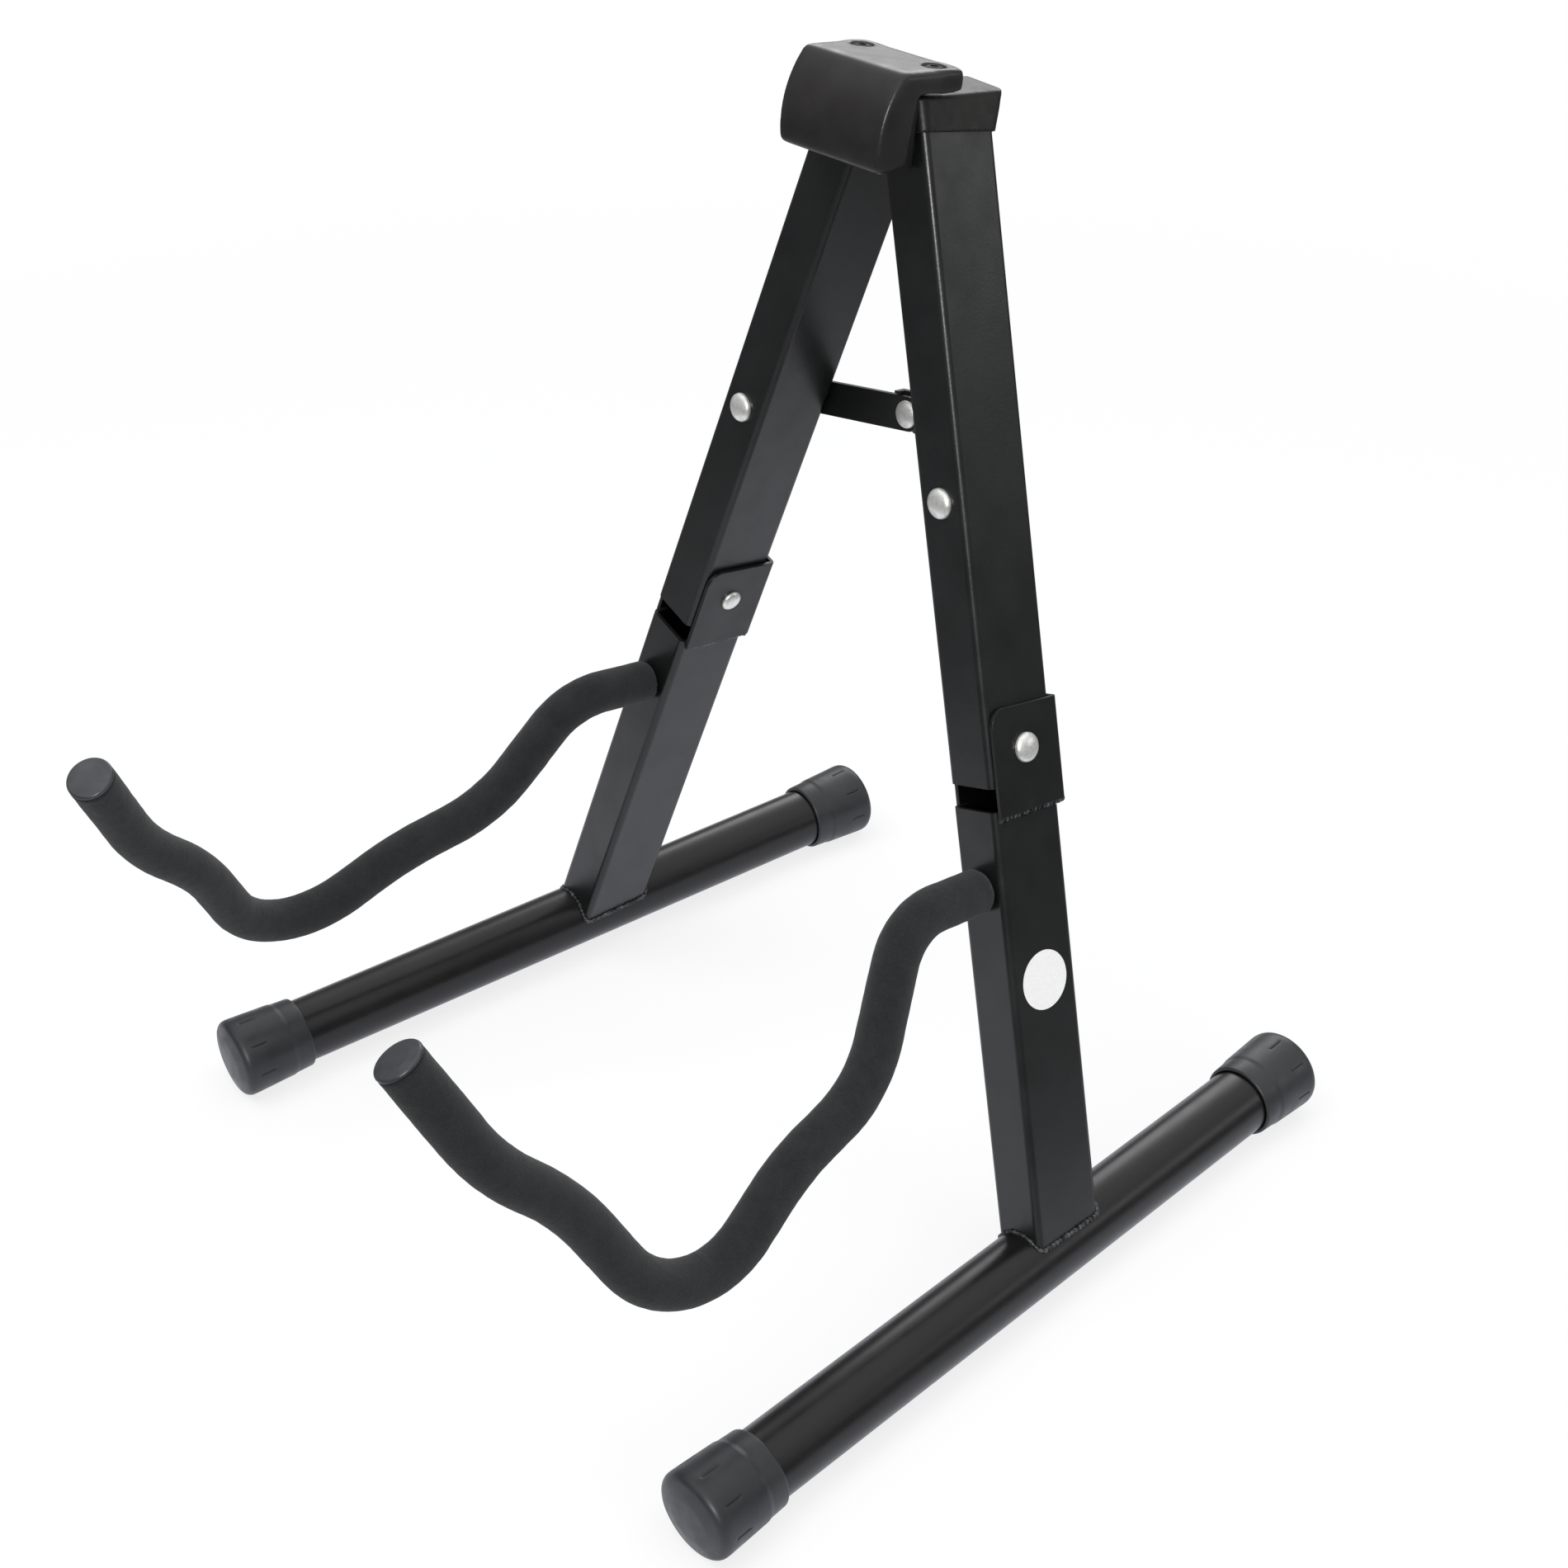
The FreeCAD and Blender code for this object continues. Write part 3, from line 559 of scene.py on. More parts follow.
# %% [markdown]
# ## Tubes and sheet parts: soften the CAD edges
#
# The CAD edges are perfectly sharp, and nothing real is. A cut or punched edge has a
# small round that catches a thin line of light. Each part's mesh is copied, its
# doubled points are merged, flat faces are joined up again, and a narrow bevel is
# run along every edge that turns by more than thirty degrees. A bevel bends the
# shading of the flat face beside it, so the faces' normals are then weighted by their
# size, and a wide face stays evenly lit up to its edge.

# %% Soften a CAD part
BEVEL_ABOVE = math.radians(30)
BEVEL_STEPS = 3
JOIN_BELOW = math.radians(0.4)
MERGE_WITHIN = 0.002 * MM


def merged(node):
    """A CAD node's mesh as one editable shape, with its doubled points merged."""
    shape = bmesh.new()
    shape.from_mesh(frame["nodes"][node].data)
    bmesh.ops.remove_doubles(shape, verts=shape.verts, dist=MERGE_WITHIN)
    return shape


def softened(node, edge_mm):
    """A copy of a CAD node's mesh with narrow rounds on its sharp edges."""
    shape = merged(node)
    bmesh.ops.dissolve_limit(shape, angle_limit=JOIN_BELOW, verts=shape.verts,
                             edges=shape.edges)
    holder = held(mesh_of(shape))
    modify(holder, "BEVEL", width=edge_mm * MM, segments=BEVEL_STEPS, limit_method="ANGLE",
           angle_limit=BEVEL_ABOVE, use_clamp_overlap=True)
    return evenly_shaded(evaluated(holder))


def evenly_shaded(mesh):
    for face in mesh.polygons:
        face.use_smooth = True
    mesh.set_sharp_from_angle(angle=SMOOTH_BELOW)
    holder = held(mesh)
    modify(holder, "WEIGHTED_NORMAL", keep_sharp=True)
    return evaluated(holder)


def soften(node, body, finish, edge_mm):
    return as_piece(softened(node, edge_mm), node + "_shape", finish, body, [node])


# %% Tubes and brackets
for side in ("right", "left"):
    leg, shin = "leg_" + side, "shin_" + side
    soften("upper_leg_" + side, leg, powder, 0.25)
    soften("lower_leg_" + side, shin, powder, 0.25)
    soften("knuckle_bracket_" + side, shin, shaded_plate_powder, 0.3)
    soften("brace_link_" + side, "link_" + side, powder, 0.3)
    soften("foot_tube_" + side, shin, coat, 0.2)
    soften("arm_rod_" + side, shin, coat, 0.2)
soften("head_bracket", "head", powder, 0.4)
soften("pivot_spacers", "head", zinc, 0.15)
print(len(made), "softened parts")


# %% [markdown]
# ## A small kit for Geometry Nodes
#
# What repeats or follows a path is made by Geometry Nodes. Each tree is built here in
# a few lines, has named sizes as its inputs, and ends by making its copies real and
# giving them their material. Running a tree on a base mesh returns a plain mesh. A
# tree's numbers can be added and multiplied here as any number can, and every sign
# stands for one Math node.

# %% Numbers in a tree
class Number:
    """An output of a tree's node; arithmetic on it adds Math nodes."""

    def __init__(self, tree, output):
        self.tree = tree
        self.output = output

    def math(self, operation, other=0.0):
        return Number(self.tree, add_math(self.tree, operation, self, other))

    def __add__(self, other):
        return self.math("ADD", other)

    def __sub__(self, other):
        return self.math("SUBTRACT", other)

    def __rsub__(self, other):
        return self * -1.0 + other

    def __mul__(self, other):
        return self.math("MULTIPLY", other)

    def __truediv__(self, other):
        return self.math("DIVIDE", other)


# %% Helpers for node trees
class Tree:
    """A Geometry Nodes tree whose inputs have names."""

    def __init__(self, name, *sizes):
        self.tree = bpy.data.node_groups.new(name, "GeometryNodeTree")
        self.socket("Geometry", "NodeSocketGeometry")
        self.tree.interface.new_socket("Geometry", in_out="OUTPUT",
                                       socket_type="NodeSocketGeometry")
        self.start = self.tree.nodes.new("NodeGroupInput")
        self.end = self.tree.nodes.new("NodeGroupOutput")
        for size in sizes:
            self.socket(size, "NodeSocketFloat")

    def socket(self, name, kind):
        self.tree.interface.new_socket(name, in_out="INPUT", socket_type=kind)

    def given(self, name):
        return Number(self.tree, self.start.outputs[name])

    def node(self, kind, settings=(), **inputs):
        return add_node(self.tree, kind, settings, **inputs)

    def number(self, kind, output=0, settings=(), **inputs):
        return Number(self.tree, self.node(kind, settings, **inputs).outputs[output])

    def attribute(self, name, kind="FLOAT"):
        return self.number("GeometryNodeInputNamedAttribute", "Attribute",
                           {"data_type": kind}, Name=name)

    def unevenness(self, scale, detail):
        """Noise round nought, half of it either way; the tree's seed changes it."""
        return self.number("ShaderNodeTexNoise", 0, {"noise_dimensions": "4D"},
                           W=self.given("Seed"), Scale=scale, Detail=detail) - 0.5

    def walked(self, line, step):
        """A line with a point at every step."""
        return self.number("GeometryNodeResampleCurve", 0, {"mode": "LENGTH"}, Curve=line,
                           Length=step)

    def tube(self, line, radius, sides):
        """A round skin along a line, closed at its ends."""
        circle = self.number("GeometryNodeCurvePrimitiveCircle", Resolution=sides, Radius=1.0)
        return self.number("GeometryNodeCurveToMesh", Curve=line, Scale=radius,
                           Profile_Curve=circle, Fill_Caps=True)

    def pushed(self, geometry, distance):
        """The geometry with each point moved out along its normal."""
        push = self.number("ShaderNodeVectorMath", 0, {"operation": "SCALE"}, Scale=distance,
                           Vector=self.number("GeometryNodeInputNormal"))
        return self.number("GeometryNodeSetPosition", Geometry=geometry, Offset=push)

    def close(self, geometry):
        """Ends the tree: copies are made real and take the material."""
        self.socket("Finish", "NodeSocketMaterial")
        real = self.number("GeometryNodeRealizeInstances", Geometry=geometry)
        dressed = self.number("GeometryNodeSetMaterial", Geometry=real,
                              Material=self.given("Finish"))
        connect(self.tree, dressed, self.end.inputs[0])
        return self

    def run(self, mesh, finish, **sizes):
        """The tree's result on a mesh, as a plain mesh."""
        holder = held(mesh)
        modifier = modify(holder, "NODES", node_group=self.tree)
        names = {item.name: item.identifier for item in self.tree.interface.items_tree
                 if item.in_out == "INPUT"}
        modifier[names["Finish"]] = finish.material
        for key, value in sizes.items():
            modifier[names[key.replace("_", " ")]] = value
        return evaluated(holder)


def points_mesh(points, edges=(), **attributes):
    """Points, loose or joined, that carry vectors or numbers for a tree to read."""
    mesh = bpy.data.meshes.new("points")
    mesh.from_pydata([tuple(point) for point in points], edges, [])
    for name, values in attributes.items():
        if isinstance(values[0], (int, float)):
            mesh.attributes.new(name, "FLOAT", "POINT").data.foreach_set("value", values)
        else:
            flat = [number for value in values for number in value]
            mesh.attributes.new(name, "FLOAT_VECTOR", "POINT").data.foreach_set("vector", flat)
    return mesh


def path_mesh(points, closed=False, **attributes):
    """Points joined in a row, for a tree to follow."""
    count = len(points)
    edges = [(index, (index + 1) % count) for index in range(count if closed else count - 1)]
    return points_mesh(points, edges, **attributes)


print("node kit ready")

# %% [markdown]
# ## Turned parts
#
# Rivet heads, screws, arm tips and the rubber feet are all round. Each starts as a
# profile: pairs of a radius and a distance along the axis. The profile is swept round
# in even steps, and the ends that reach the axis close in one point.

# %% Turn a profile
ROUND_STEPS = 64


def along_axis(start, direction):
    """A frame at the start whose Z runs along the direction."""
    turn = direction.normalized().to_track_quat("Z", "Y").to_matrix().to_4x4()
    return Matrix.Translation(start) @ turn


def ring_of(shape, radius_at, distance, steps):
    """Points round the axis, in millimetres; the radius may change with the angle."""
    angles = [math.tau * step / steps for step in range(steps)]
    return [shape.verts.new((radius_at(angle) * MM * math.cos(angle),
                             radius_at(angle) * MM * math.sin(angle), distance * MM))
            for angle in angles]


def skin(shape, rings):
    """Faces from each ring to the next; a ring may be a single point."""
    for low, high in zip(rings, rings[1:]):
        for step in range(max(len(low), len(high))):
            corners = (low[step % len(low)], low[(step + 1) % len(low)],
                       high[(step + 1) % len(high)], high[step % len(high)])
            shape.faces.new(list(dict.fromkeys(corners)))


def turned(profile, place=Matrix.Identity(4), steps=ROUND_STEPS):
    """A closed turned mesh from (radius, distance) pairs in millimetres."""
    shape = bmesh.new()
    skin(shape, [ring_of(shape, lambda angle: radius, distance, steps if radius else 1)
                 for radius, distance in profile])
    bmesh.ops.recalc_face_normals(shape, faces=shape.faces)
    shape.transform(place)
    return mesh_of(shape)


def rounded(corners, rounds, steps=5):
    """A line's corners with a round of its own radius on each, in millimetres."""
    points = []
    for index, (corner, radius) in enumerate(zip(corners, rounds)):
        here = Vector(corner)
        if not radius:
            points.append(corner)
            continue
        before = (Vector(corners[index - 1]) - here).normalized()
        after = (Vector(corners[(index + 1) % len(corners)]) - here).normalized()
        half = before.angle(after) / 2
        run = radius / math.tan(half)
        centre = here + (before + after).normalized() * (radius / math.sin(half))
        first = here + before * run - centre
        last = here + after * run - centre
        sweep = first.angle_signed(last)
        for step in range(steps + 1):
            turn = Matrix.Rotation(-sweep * step / steps, 2)
            points.append(tuple(centre + turn @ first))
    return points


def dense(points, step):
    """The same line with a point at about every step, in millimetres."""
    result = []
    for first, last in zip(points, points[1:]):
        count = max(1, round((Vector(last) - Vector(first)).length / step))
        result += [Vector(first).lerp(Vector(last), index / count) for index in range(count)]
    return result + [Vector(points[-1])]


# %% [markdown]
# ## Rivets and screws by Geometry Nodes
#
# One tree places them all. It takes points that carry a direction and two sizes, puts
# a turned head and a plain shank on every point, and makes one real mesh of them. The
# heads and shanks are drawn one millimetre wide and high, so a size is a plain scale.

# %% Fastener tree
DOME_RIM = 0.2             # a rivet head's upright rim, as a share of its height
DOME_STEPS = 10

forms = []


def hidden(name, mesh):
    """A form that is only copied by a tree; it is removed at the end."""
    form = bpy.data.objects.new(name, mesh)
    scene.collection.objects.link(form)
    forms.append(form)
    return form


def fastener_tree():
    kit = Tree("fasteners")
    facing = kit.number("FunctionNodeAlignRotationToVector", 0, {"axis": "Z"},
                        Vector=kit.attribute("facing", "FLOAT_VECTOR"))
    joined = kit.node("GeometryNodeJoinGeometry")
    for part, size in (("Head", "head_size"), ("Shank", "shank_size")):
        kit.socket(part, "NodeSocketObject")
        form = kit.number("GeometryNodeObjectInfo", "Geometry", Object=kit.given(part))
        copies = kit.number("GeometryNodeInstanceOnPoints", Points=kit.given("Geometry"),
                            Instance=form, Rotation=facing,
                            Scale=kit.attribute(size, "FLOAT_VECTOR"))
        connect(kit.tree, copies, joined.inputs[0])
    return kit.close(joined.outputs[0])


dome = [(0, 0), (0.96, 0), (1, 0.05), (1, DOME_RIM)]
dome += [(math.cos(angle), DOME_RIM + (1 - DOME_RIM) * math.sin(angle))
         for angle in (math.radians(90 * step / DOME_STEPS) for step in range(1, DOME_STEPS))]
rivet_head = hidden("rivet head", turned(dome + [(0, 1)], steps=40))
shank = hidden("shank", turned([(0, 0), (1, 0), (1, -1), (0, -1)], steps=32))
fasteners = fastener_tree()
print("fastener forms:", [form.name for form in forms])

# %% [markdown]
# Each head is placed from its hinge's own centre, out along the hinge's axis to the
# surface that it sits on. The heads behind are flatter: they are the formed tails.

# %% Rivets on every body
def head_at(middle, direction, seat, size, shank_size):
    """A head's place, direction, (radius, height) and its shank's (radius, length)."""
    return middle + direction * seat * MM, direction, size, shank_size


def rivets(name, body, heads, node):
    mesh = points_mesh([place for place, *_ in heads], facing=[head[1] for head in heads],
                       head_size=[(radius, radius, high) for *_, (radius, high), _ in heads],
                       shank_size=[(radius, radius, long) for *_, (radius, long) in heads])
    mesh = fasteners.run(mesh, zinc, Head=rivet_head, Shank=shank)
    as_piece(mesh, name, zinc, body, [node])
    print(name, len(heads), "heads", len(mesh.polygons), "faces")


SIDES = {"right": Vector((1, 1, 1)), "left": Vector((-1, 1, 1))}
lean_up = Vector((1, 0, 0)).cross(leg_back)      # up the stand's leaning middle plane
pivot = Vector(joints["leg_spread_right"]["pos_m"])
brace = Vector(joints["brace_right"]["pos_m"])
centre = Vector((0, brace.y, brace.z)) + lean_up * 8.7 * MM
for side, flip in SIDES.items():
    across = leg_across * flip
    rivets("brace_rivet_heads_" + side, "leg_" + side,
           [head_at(brace * flip, -leg_back, 15.0, (5.0, 2.8), (3.0, 30)),
            head_at(brace * flip, leg_back, 17.35, (4.0, 1.2), (3.0, 4))],
           "brace_rivet_" + side)
    rivets("knuckle_rivet_heads_" + side, "shin_" + side,
           [head_at(knuckle * flip, across, 11.85, (5.0, 2.8), (3.0, 12)),
            head_at(knuckle * flip, -across, 11.85, (4.0, 2.2), (3.0, 12))],
           "knuckle_rivet_" + side)
rivets("pivot_rivet_heads", "head",
       [head for flip in SIDES.values() for head in (
           head_at(pivot * flip, -leg_back, 17.9, (5.25, 2.6), (3.0, 30)),
           head_at(pivot * flip, leg_back, 16.0, (4.0, 1.2), (3.0, 6)))],
       "pivot_rivets")
rivets("centre_rivet_front_head", "link_left",
       [head_at(centre, -leg_back, -15.3, (4.7, 2.2), (2.5, 2))], "centre_rivet_front")
rivets("centre_rivet_back_head", "link_right",
       [head_at(centre, leg_back, 19.6, (4.7, 2.2), (2.5, 2))], "centre_rivet_back")

# %% [markdown]
# ## Foam sleeves that follow the arms
#
# Each arm is a bent steel rod inside a foam sleeve. The rod's route is a short list
# of corners, and each corner has its own bend. The tree rounds the corners, walks
# along the route, and sweeps a circle whose size wanders a little, because real foam
# is never even. Its ends are rounded off, and a fine pebble roughens the skin.

# %% The arm's route
ARM_REACH = 225.0
ARM_DROP = 97.9
ARM_TOE = math.radians(1.9)
BEND_RADIUS = 33.0
REACH_SHARES = (0.0, 0.160, 0.266, 0.425, 0.642, 0.793, 0.899, 1.0)
RISE_SHARES = (0.0, 0.0, -0.50, -0.636, -1.0, -0.431, -0.223, 0.194)
BEND_SHARES = (0.0, 0.70, 1.25, 2.60, 1.0, 2.60, 2.20, 0.0)
FOAM_RADIUS = 7.75
FOAM_START = 1.5           # where the foam starts, from the leg's face
TIP_LENGTH = 5.0
TIP_DISC = 1.8             # how much of the tip shows beyond the foam

outward = Vector((math.sin(ARM_TOE), -math.cos(ARM_TOE), 0))
arm_root = Vector((0, -HALF_DEPTH, ARM_HEIGHT))


def on_route(reach, rise):
    """A corner of the route from its shares of the arm's reach and drop."""
    point = arm_root + outward * ARM_REACH * reach + Vector((0, 0, ARM_DROP * rise))
    return leg_frame @ (point * MM)


route = [on_route(reach, rise) for reach, rise in zip(REACH_SHARES, RISE_SHARES)]
tip_end = route[-1].copy()
tip_along = (route[-1] - route[-2]).normalized()
root_along = (route[1] - route[0]).normalized()
foam_route = [route[0] + root_along * FOAM_START * MM, *route[1:-1],
              tip_end - tip_along * TIP_DISC * MM]
print("route", len(route), "corners, tip at", [round(value / MM, 1) for value in tip_end])

# %% Sleeve tree
BEND_STEPS = 14
SLEEVE_SIDES = 40
WANDER_SCALE = 45.0        # the sleeve's thickness wanders over about two centimetres
PEBBLE_SCALE = 260.0       # and its skin is uneven over a few millimetres
SLEEVE_SEEDS = {"right": 3.0, "left": 8.0}


def sleeve_tree():
    kit = Tree("sleeve along a route", "Radius", "Step", "End round", "Wander", "Pebble",
               "Seed")
    line = kit.number("GeometryNodeMeshToCurve", Mesh=kit.given("Geometry"))
    bent = kit.number("GeometryNodeFilletCurve", 0, {"mode": "POLY"}, Curve=line,
                      Count=BEND_STEPS, Radius=kit.attribute("bend"), Limit_Radius=False)
    along = kit.number("GeometryNodeSplineParameter", "Length")
    to_end = along.math("MINIMUM", kit.number("GeometryNodeSplineLength", "Length") - along)
    inside = 1.0 - (to_end / kit.given("End round")).math("MINIMUM", 1.0)
    rounding = ((1.0 - inside * inside).math("SQRT") - 1.0) * kit.given("End round")
    wander = kit.unevenness(WANDER_SCALE, 2.0) * kit.given("Wander")
    foam_skin = kit.tube(kit.walked(bent, kit.given("Step")),
                         kit.given("Radius") + rounding + wander, SLEEVE_SIDES)
    pebble = kit.unevenness(PEBBLE_SCALE, 3.0) * kit.given("Pebble")
    return kit.close(kit.pushed(foam_skin, pebble))


# %% Sleeves
sleeves = sleeve_tree()
bends = [BEND_RADIUS * share * MM for share in BEND_SHARES]
for side, flip in SIDES.items():
    base = path_mesh([point * flip for point in foam_route], bend=bends)
    mesh = sleeves.run(base, foam, Radius=FOAM_RADIUS * MM, Step=1.0 * MM,
                       End_round=0.6 * MM, Wander=0.5 * MM, Pebble=0.35 * MM,
                       Seed=SLEEVE_SEEDS[side])
    sleeve = as_piece(mesh, "foam_sleeve_" + side, foam, "shin_" + side,
                      ["arm_foam_" + side])
    print(sleeve.name, len(mesh.polygons), "faces")

# %% [markdown]
# ## Arm tips
#
# A rubber plug closes the end of each sleeve. Its stem is hidden in the foam, and its
# disc is slightly domed with a rounded rim, which is where the bright arc of light
# sits. The disc is as wide as the foam, so the two meet in a fine line.

# %% Arm tips
STEM_RADIUS = 6.0
STEM_LENGTH = 3.2
DISC_SHOULDER = 4.4        # the disc's dome starts here

tip_corners = [(0, 0), (STEM_RADIUS, 0), (STEM_RADIUS, STEM_LENGTH),
               (FOAM_RADIUS, STEM_LENGTH), (FOAM_RADIUS, DISC_SHOULDER), (4.2, 4.85),
               (0, TIP_LENGTH)]
tip_profile = rounded(tip_corners, [0, 0.3, 0, 0.25, 1.0, 4.0, 0])
tip_mesh = turned(tip_profile, along_axis(tip_end - tip_along * TIP_LENGTH * MM, tip_along))
as_pair(tip_mesh, "arm_tip_cap_{}", tip_rubber, "shin_{}", "arm_tip_{}")
print("tips", len(tip_mesh.polygons), "faces each")

# %% [markdown]
# ## Rubber feet with moulded marks
#
# Each foot is a sleeve that slips over the tube: a narrow neck, a small step, and a
# body that flares to a rounded end. Near the end a ring of short marks is moulded in.
# The marks are a repeat with a rule, so a tree finds each point's angle and place
# along the axis, and sinks the ones that lie in a mark. The cap's lowest line is
# pressed flat where it stands on the floor.

# %% Rubber foot body
CAP_LENGTH = 30.4
CAP_SOCKET = 25.0          # tube's length inside the cap
CAP_STEPS = 192
FOOT_FRONT = 164.0         # a foot tube's reach in front of the leg and behind it
FOOT_BACK = 131.5
MARK_COUNT = 8             # short moulded marks round the outer end
MARK_FROM = 17.0
MARK_TO = 24.0
MARK_HALF_WIDTH = 0.55
MARK_DEPTH = 0.45
MARK_RINGS = 0.5           # distance between the rings that carry the marks
OUTSIDE = 13.0             # the cap's outer skin lies beyond this radius

cap_corners = [(12.6, 20), (12.6, 0), (14.0, 0), (14.35, 7.0), (14.75, 8.6), (15.5, 24.6),
               (15.5, 28.3), (8.0, 30.0), (0, CAP_LENGTH)]
cap_rounds = [0, 0.5, 0.9, 2.4, 2.4, 8.0, 3.0, 12.0, 0]
cap_profile = [(0, 20)] + rounded(cap_corners, cap_rounds)


def with_rings(profile):
    """The same profile with more rings where the marks lie."""
    rings = []
    for first, last in zip(profile, profile[1:]):
        marked = (first[0] > OUTSIDE and first[1] < min(last[1], MARK_TO + 1)
                  and last[1] > MARK_FROM - 1)
        rings += dense([first, last], MARK_RINGS)[:-1] if marked else [first]
    return rings + [profile[-1]]


# %% Moulded marks
def mark_tree():
    kit = Tree("short marks round an axis", "Count", "From", "To", "Half width", "Depth")
    place = kit.number("GeometryNodeInputPosition")
    x, y, z = (kit.number("ShaderNodeSeparateXYZ", axis, Vector=place) for axis in "XYZ")
    turns = y.math("ARCTAN2", x) / math.tau * kit.given("Count")
    off = (turns - turns.math("ROUND")).math("ABSOLUTE")
    round_here = (x * x + y * y).math("SQRT") * math.tau
    across = 1.0 - off / kit.given("Count") * round_here / kit.given("Half width")
    inside = (z - kit.given("From")).math("MINIMUM", kit.given("To") - z)
    along = inside / kit.given("Half width")
    sink = across.math("MINIMUM", along).math("MINIMUM", 1.0).math("MAXIMUM", 0.0)
    return kit.close(kit.pushed(kit.given("Geometry"), sink * kit.given("Depth") * -1.0))


foot_cap_mesh = mark_tree().run(
    turned(with_rings(cap_profile), steps=CAP_STEPS), rubber, Count=float(MARK_COUNT),
    From=MARK_FROM * MM, To=MARK_TO * MM, Half_width=MARK_HALF_WIDTH * MM,
    Depth=MARK_DEPTH * MM)
print("foot cap", len(foot_cap_mesh.polygons), "faces")


# %% Four rubber feet
def set_on_floor(mesh, place):
    """The cap in its place, pressed flat where it would sink into the floor."""
    shape = bmesh.new()
    shape.from_mesh(mesh)
    shape.transform(place)
    for point in shape.verts:
        point.co.z = max(point.co.z, 0)
    return mesh_of(shape)


for end, sign, length in (("front", -1, FOOT_FRONT), ("back", 1, FOOT_BACK)):
    start = foot_frame @ Vector((0, sign * (length - CAP_SOCKET) * MM, 0))
    direction = foot_frame.to_3x3() @ Vector((0, sign, 0))
    as_pair(set_on_floor(foot_cap_mesh, along_axis(start, direction)),
            "rubber_foot_" + end + "_{}", rubber, "shin_{}",
            "foot_cap_" + end + "_{}")
print("rubber feet:", [name for name in made if name.startswith("rubber_foot")])

# %% [markdown]
# ## Weld beads
#
# The leg is welded to the foot tube, the folded bracket to the leg, and the arm rod
# to the leg's front. A weld is a row of overlapping drops. The tree sweeps a circle
# along the seam and swells it once for every drop, with a little noise, so that the
# bead looks laid by hand.

# %% Bead tree
BEAD_STEP = 0.22
BEAD_SIDES = 12
DROP_START = 1.1           # a drop's size at its start, as a share of the bead's
DROP_FALL = 0.5            # how much of it is gone at its end
UNEVEN_SCALE = 500.0
UNEVEN_SPAN = 1.1


def bead_tree():
    kit = Tree("weld bead", "Radius", "Drop", "Seed")
    line = kit.number("GeometryNodeMeshToCurve", Mesh=kit.given("Geometry"))
    along = kit.number("GeometryNodeSplineParameter", "Length")
    share = (along / kit.given("Drop")).math("FRACT")
    swell = DROP_START - share.math("POWER", 2.0) * DROP_FALL
    uneven = kit.unevenness(UNEVEN_SCALE, 2.0) * UNEVEN_SPAN + 1.0
    radius = kit.given("Radius") * swell * uneven
    return kit.close(kit.tube(kit.walked(line, BEAD_STEP * MM), radius, BEAD_SIDES))


beads = bead_tree()
print("bead tree nodes:", len(beads.tree.nodes))

# %% Seams that the beads follow
SEAM_STEP = 1.0
SEAM_OUT = 0.1             # a seam stands this far off the faces that it joins
BRACKET_LOW = 159.14
FLANK_FRONT = {"right": -13.4, "left": -9.5}   # the right side's outer weld is longer
ROD_RADIUS = 4.2

foot_axis = leg_frame.to_3x3().inverted() @ (foot_frame.to_3x3() @ Vector((0, 1, 0)))


def on_foot_tube(x, y):
    """The height up the leg where the foot tube's skin lies, in millimetres."""
    flat = Vector((x, y, 0))
    a = 1 - foot_axis.z ** 2
    b = -2 * flat.dot(foot_axis) * foot_axis.z
    c = flat.length_squared - flat.dot(foot_axis) ** 2 - FOOT_RADIUS ** 2
    return (-b + math.sqrt(max(b * b - 4 * a * c, 0))) / (2 * a)


def seam(corners, height):
    """A dense line through corners on the leg's section, at a height that may follow
    the foot tube."""
    return [Vector((x, y, height(x, y))) for x, y in dense(corners, SEAM_STEP)]


leg_section = [(10.25, 15.25), (-10.25, 15.25), (-10.25, -15.25), (10.25, -15.25)]
leg_outline = rounded(leg_section, [2.6] * 4)
foot_seam = seam(leg_outline + leg_outline[:1], lambda x, y: on_foot_tube(x, y) + SEAM_OUT)
rod_seam = [arm_root + Vector((ROD_RADIUS * math.cos(angle), -0.2,
                               ROD_RADIUS * math.sin(angle)))
            for angle in (math.tau * step / 24 for step in range(24))]


def bracket_seam(side):
    """The folded bracket's lower edge, from its outer flank round to the inner one."""
    return seam([(10.3, FLANK_FRONT[side]), (10.3, 15.3), (-10.3, 15.3),
                 (-10.3, FLANK_FRONT["left"])], lambda x, y: BRACKET_LOW - SEAM_OUT)


# %% Beads on both shins
DROP = 1.9
BEAD_SEEDS = {"right": 0.0, "left": 5.0}

for side, flip in SIDES.items():
    shape = bmesh.new()
    for line, closed, radius, seed in ((foot_seam[:-1], True, 0.85, 1.0),
                                       (bracket_seam(side), False, 1.35, 2.0),
                                       (rod_seam, True, 0.9, 3.0)):
        points = [(leg_frame @ (point * MM)) * flip for point in line]
        bead = beads.run(path_mesh(points, closed), weld, Radius=radius * MM, Drop=DROP * MM,
                         Seed=seed + BEAD_SEEDS[side])
        shape.from_mesh(bead)
    as_piece(mesh_of(shape), "weld_beads_" + side, weld, "shin_" + side)
print("welds on both shins")

# %% [markdown]
# ## The head pad
#
# The pad is one rubber moulding with a bulged front, and no edge on it is sharp. Its
# solid is filled with half-millimetre cells, which rounds every edge alike, and then
# relaxed. That gives soft edges with a thin line of light, as moulded rubber has. The
# wells of the two screws are left out of it, so that their rims stay crisp.

# %% Head pad
PAD_CELL = 0.55
PAD_RELAX = 64
WELL_RELAX = 8
WELL_REACH = 6.0           # the wells keep their crisp rims inside this distance
SOFT_WITHIN = 2.0          # the relaxing grows to its full strength over this distance
SCREW_X = 16.3

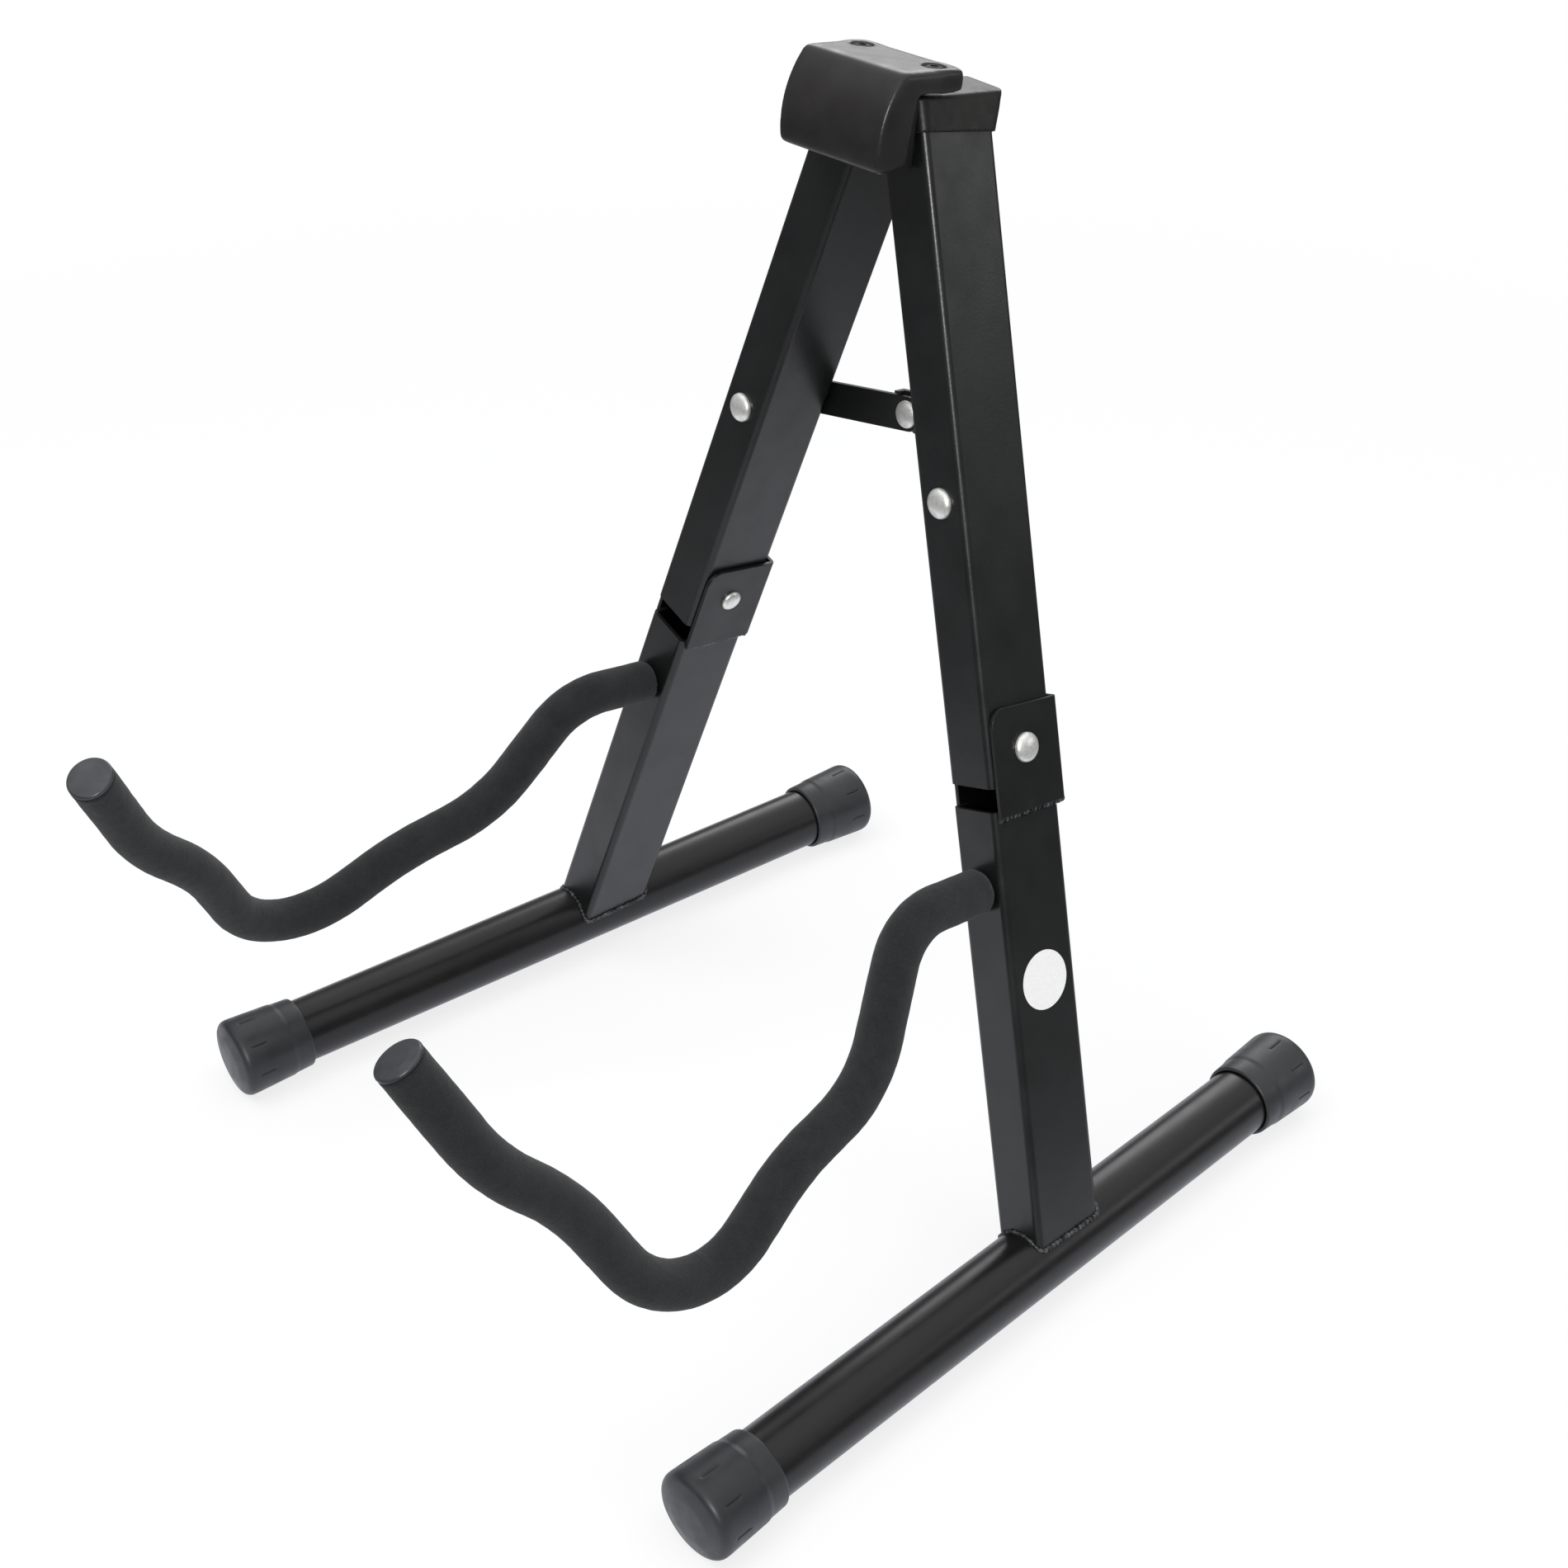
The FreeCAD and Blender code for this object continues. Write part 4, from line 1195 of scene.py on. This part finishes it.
low_corner, high_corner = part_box("pad_screws")
screw_mid = (low_corner + high_corner) / 2
screw_mid.x = 0


def remade_from_cells(node, cell_mm):
    """A node's solid as a mesh of small even cells."""
    holder = held(mesh_of(merged(node)))
    modify(holder, "REMESH", mode="VOXEL", voxel_size=cell_mm * MM)
    return evaluated(holder)


def from_well(point):
    """How far a point is from the nearer screw's axis, in millimetres."""
    return min((point - screw_mid - Vector((sign * SCREW_X * MM, 0, 0))).cross(lean_up).length
               for sign in (-1, 1)) / MM


def relaxed(mesh, distance, gentle, strong):
    """Every edge gets a small round, and those at a positive distance a large one."""
    holder = held(mesh)
    soft = holder.vertex_groups.new(name="soft")
    for point in mesh.vertices:
        share = min(max(distance(point.co) / SOFT_WITHIN, 0), 1)
        soft.add([point.index], share, "REPLACE")
    for group, rounds in (("", gentle), ("soft", strong)):
        modify(holder, "SMOOTH", factor=0.5, iterations=rounds, vertex_group=group)
    result = evaluated(holder)
    if "soft" in result.attributes:
        result.attributes.remove(result.attributes["soft"])
    return result


pad_mesh = relaxed(remade_from_cells("head_pad", PAD_CELL),
                   lambda point: from_well(point) - WELL_REACH, WELL_RELAX, PAD_RELAX)
pad = as_piece(pad_mesh, "moulded_head_pad", pad_rubber, "head", ["head_pad"])
print("pad", len(pad_mesh.polygons), "faces")

# %% [markdown]
# ## Leg caps
#
# The plastic caps on the leg tops have a soft rim round their level top, while the
# skirt's lower edge is crisp. They are made as the pad is, relaxed only near the top.

# %% Leg caps
LEG_CAP_CELL = 0.4
LEG_CAP_RELAX = 60
LEG_CAP_CRISP = 2          # the little relaxing that the crisp part gets
LEG_CAP_SOFT = 5.0         # the soft rim reaches this far down from the top


def below_top(mesh):
    """A measure that is positive near the mesh's top and negative further down."""
    top = max(point.co.dot(lean_up) for point in mesh.vertices)
    return lambda point: (point.dot(lean_up) - top) / MM + LEG_CAP_SOFT


leg_cap_mesh = remade_from_cells("leg_cap_right", LEG_CAP_CELL)
leg_cap_mesh = relaxed(leg_cap_mesh, below_top(leg_cap_mesh), LEG_CAP_CRISP, LEG_CAP_RELAX)
as_pair(leg_cap_mesh, "leg_cap_{}_shape", plastic, "leg_{}", "leg_cap_{}")
print("leg caps", len(leg_cap_mesh.polygons), "faces each")

# %% [markdown]
# ## Screws in the pad and the round label
#
# Two black button screws sit at the bottom of the pad's wells. Their heads have a
# hexagon socket. The label is a thin paper disc on the outer side of the right lower
# leg; it stays blank.

# %% Screws
HEAD_STEPS = 36
SOCKET_HALF = 0.38         # from the head's axis to a flat of the socket
SOCKET_FLOOR = 0.25
BUTTON = ((1, 0), (1, 0.15), (0.96, 0.45), (0.84, 0.74), (0.66, 0.92), (0.5, 1.0))


def hexagon(angle):
    """A hexagon's radius at an angle."""
    from_flat = (angle % (math.pi / 3)) - math.pi / 6
    return SOCKET_HALF / math.cos(from_flat)


def socket_head():
    """A button head one millimetre in radius and height, with a hexagon socket."""
    shape = bmesh.new()
    rings = [ring_of(shape, lambda angle: radius, height, HEAD_STEPS)
             for radius, height in BUTTON]
    rings += [ring_of(shape, hexagon, height, HEAD_STEPS) for height in (1.0, SOCKET_FLOOR)]
    skin(shape, rings)
    shape.faces.new(rings[-1])
    shape.faces.new(list(reversed(rings[0])))
    bmesh.ops.recalc_face_normals(shape, faces=shape.faces)
    return hidden("socket head", mesh_of(shape))


SCREW_RADIUS = 3.3
SCREW_HEAD = 1.2
SCREW_SHANK = (1.75, 1.75, 4.0)
half_rise = (high_corner.z - low_corner.z) / 2
screw_seat = screw_mid + lean_up * (half_rise / lean_up.z - SCREW_HEAD * MM)
screw_points = [screw_seat + Vector((sign * SCREW_X * MM, 0, 0)) for sign in (-1, 1)]
screw_mesh = points_mesh(screw_points, facing=[lean_up] * 2, shank_size=[SCREW_SHANK] * 2,
                         head_size=[(SCREW_RADIUS, SCREW_RADIUS, SCREW_HEAD)] * 2)
screw_mesh = fasteners.run(screw_mesh, oxide, Head=socket_head(), Shank=shank)
as_piece(screw_mesh, "pad_button_screws", oxide, "head", ["pad_screws"])
print("screws", len(screw_mesh.polygons), "faces")

# %% Label
LABEL_PROFILE = ((0, 0), (10.2, 0), (10.25, 0.04), (10.25, 0.11), (10.2, 0.15), (0, 0.15))
label_place = leg_frame @ (Vector((HALF_WIDTH, 0, LABEL_HEIGHT)) * MM)
label_mesh = turned(LABEL_PROFILE, along_axis(label_place, leg_across), steps=96)
as_piece(label_mesh, "round_label", paper, "shin_right", ["label"])
print("label at", [round(value / MM, 1) for value in label_place])

# %% [markdown]
# ## Finish
#
# The forms that were only copied are taken away.

# %% Remove the copied forms and finish
for form in forms:
    bpy.data.objects.remove(form)
print(len(made), "pieces")
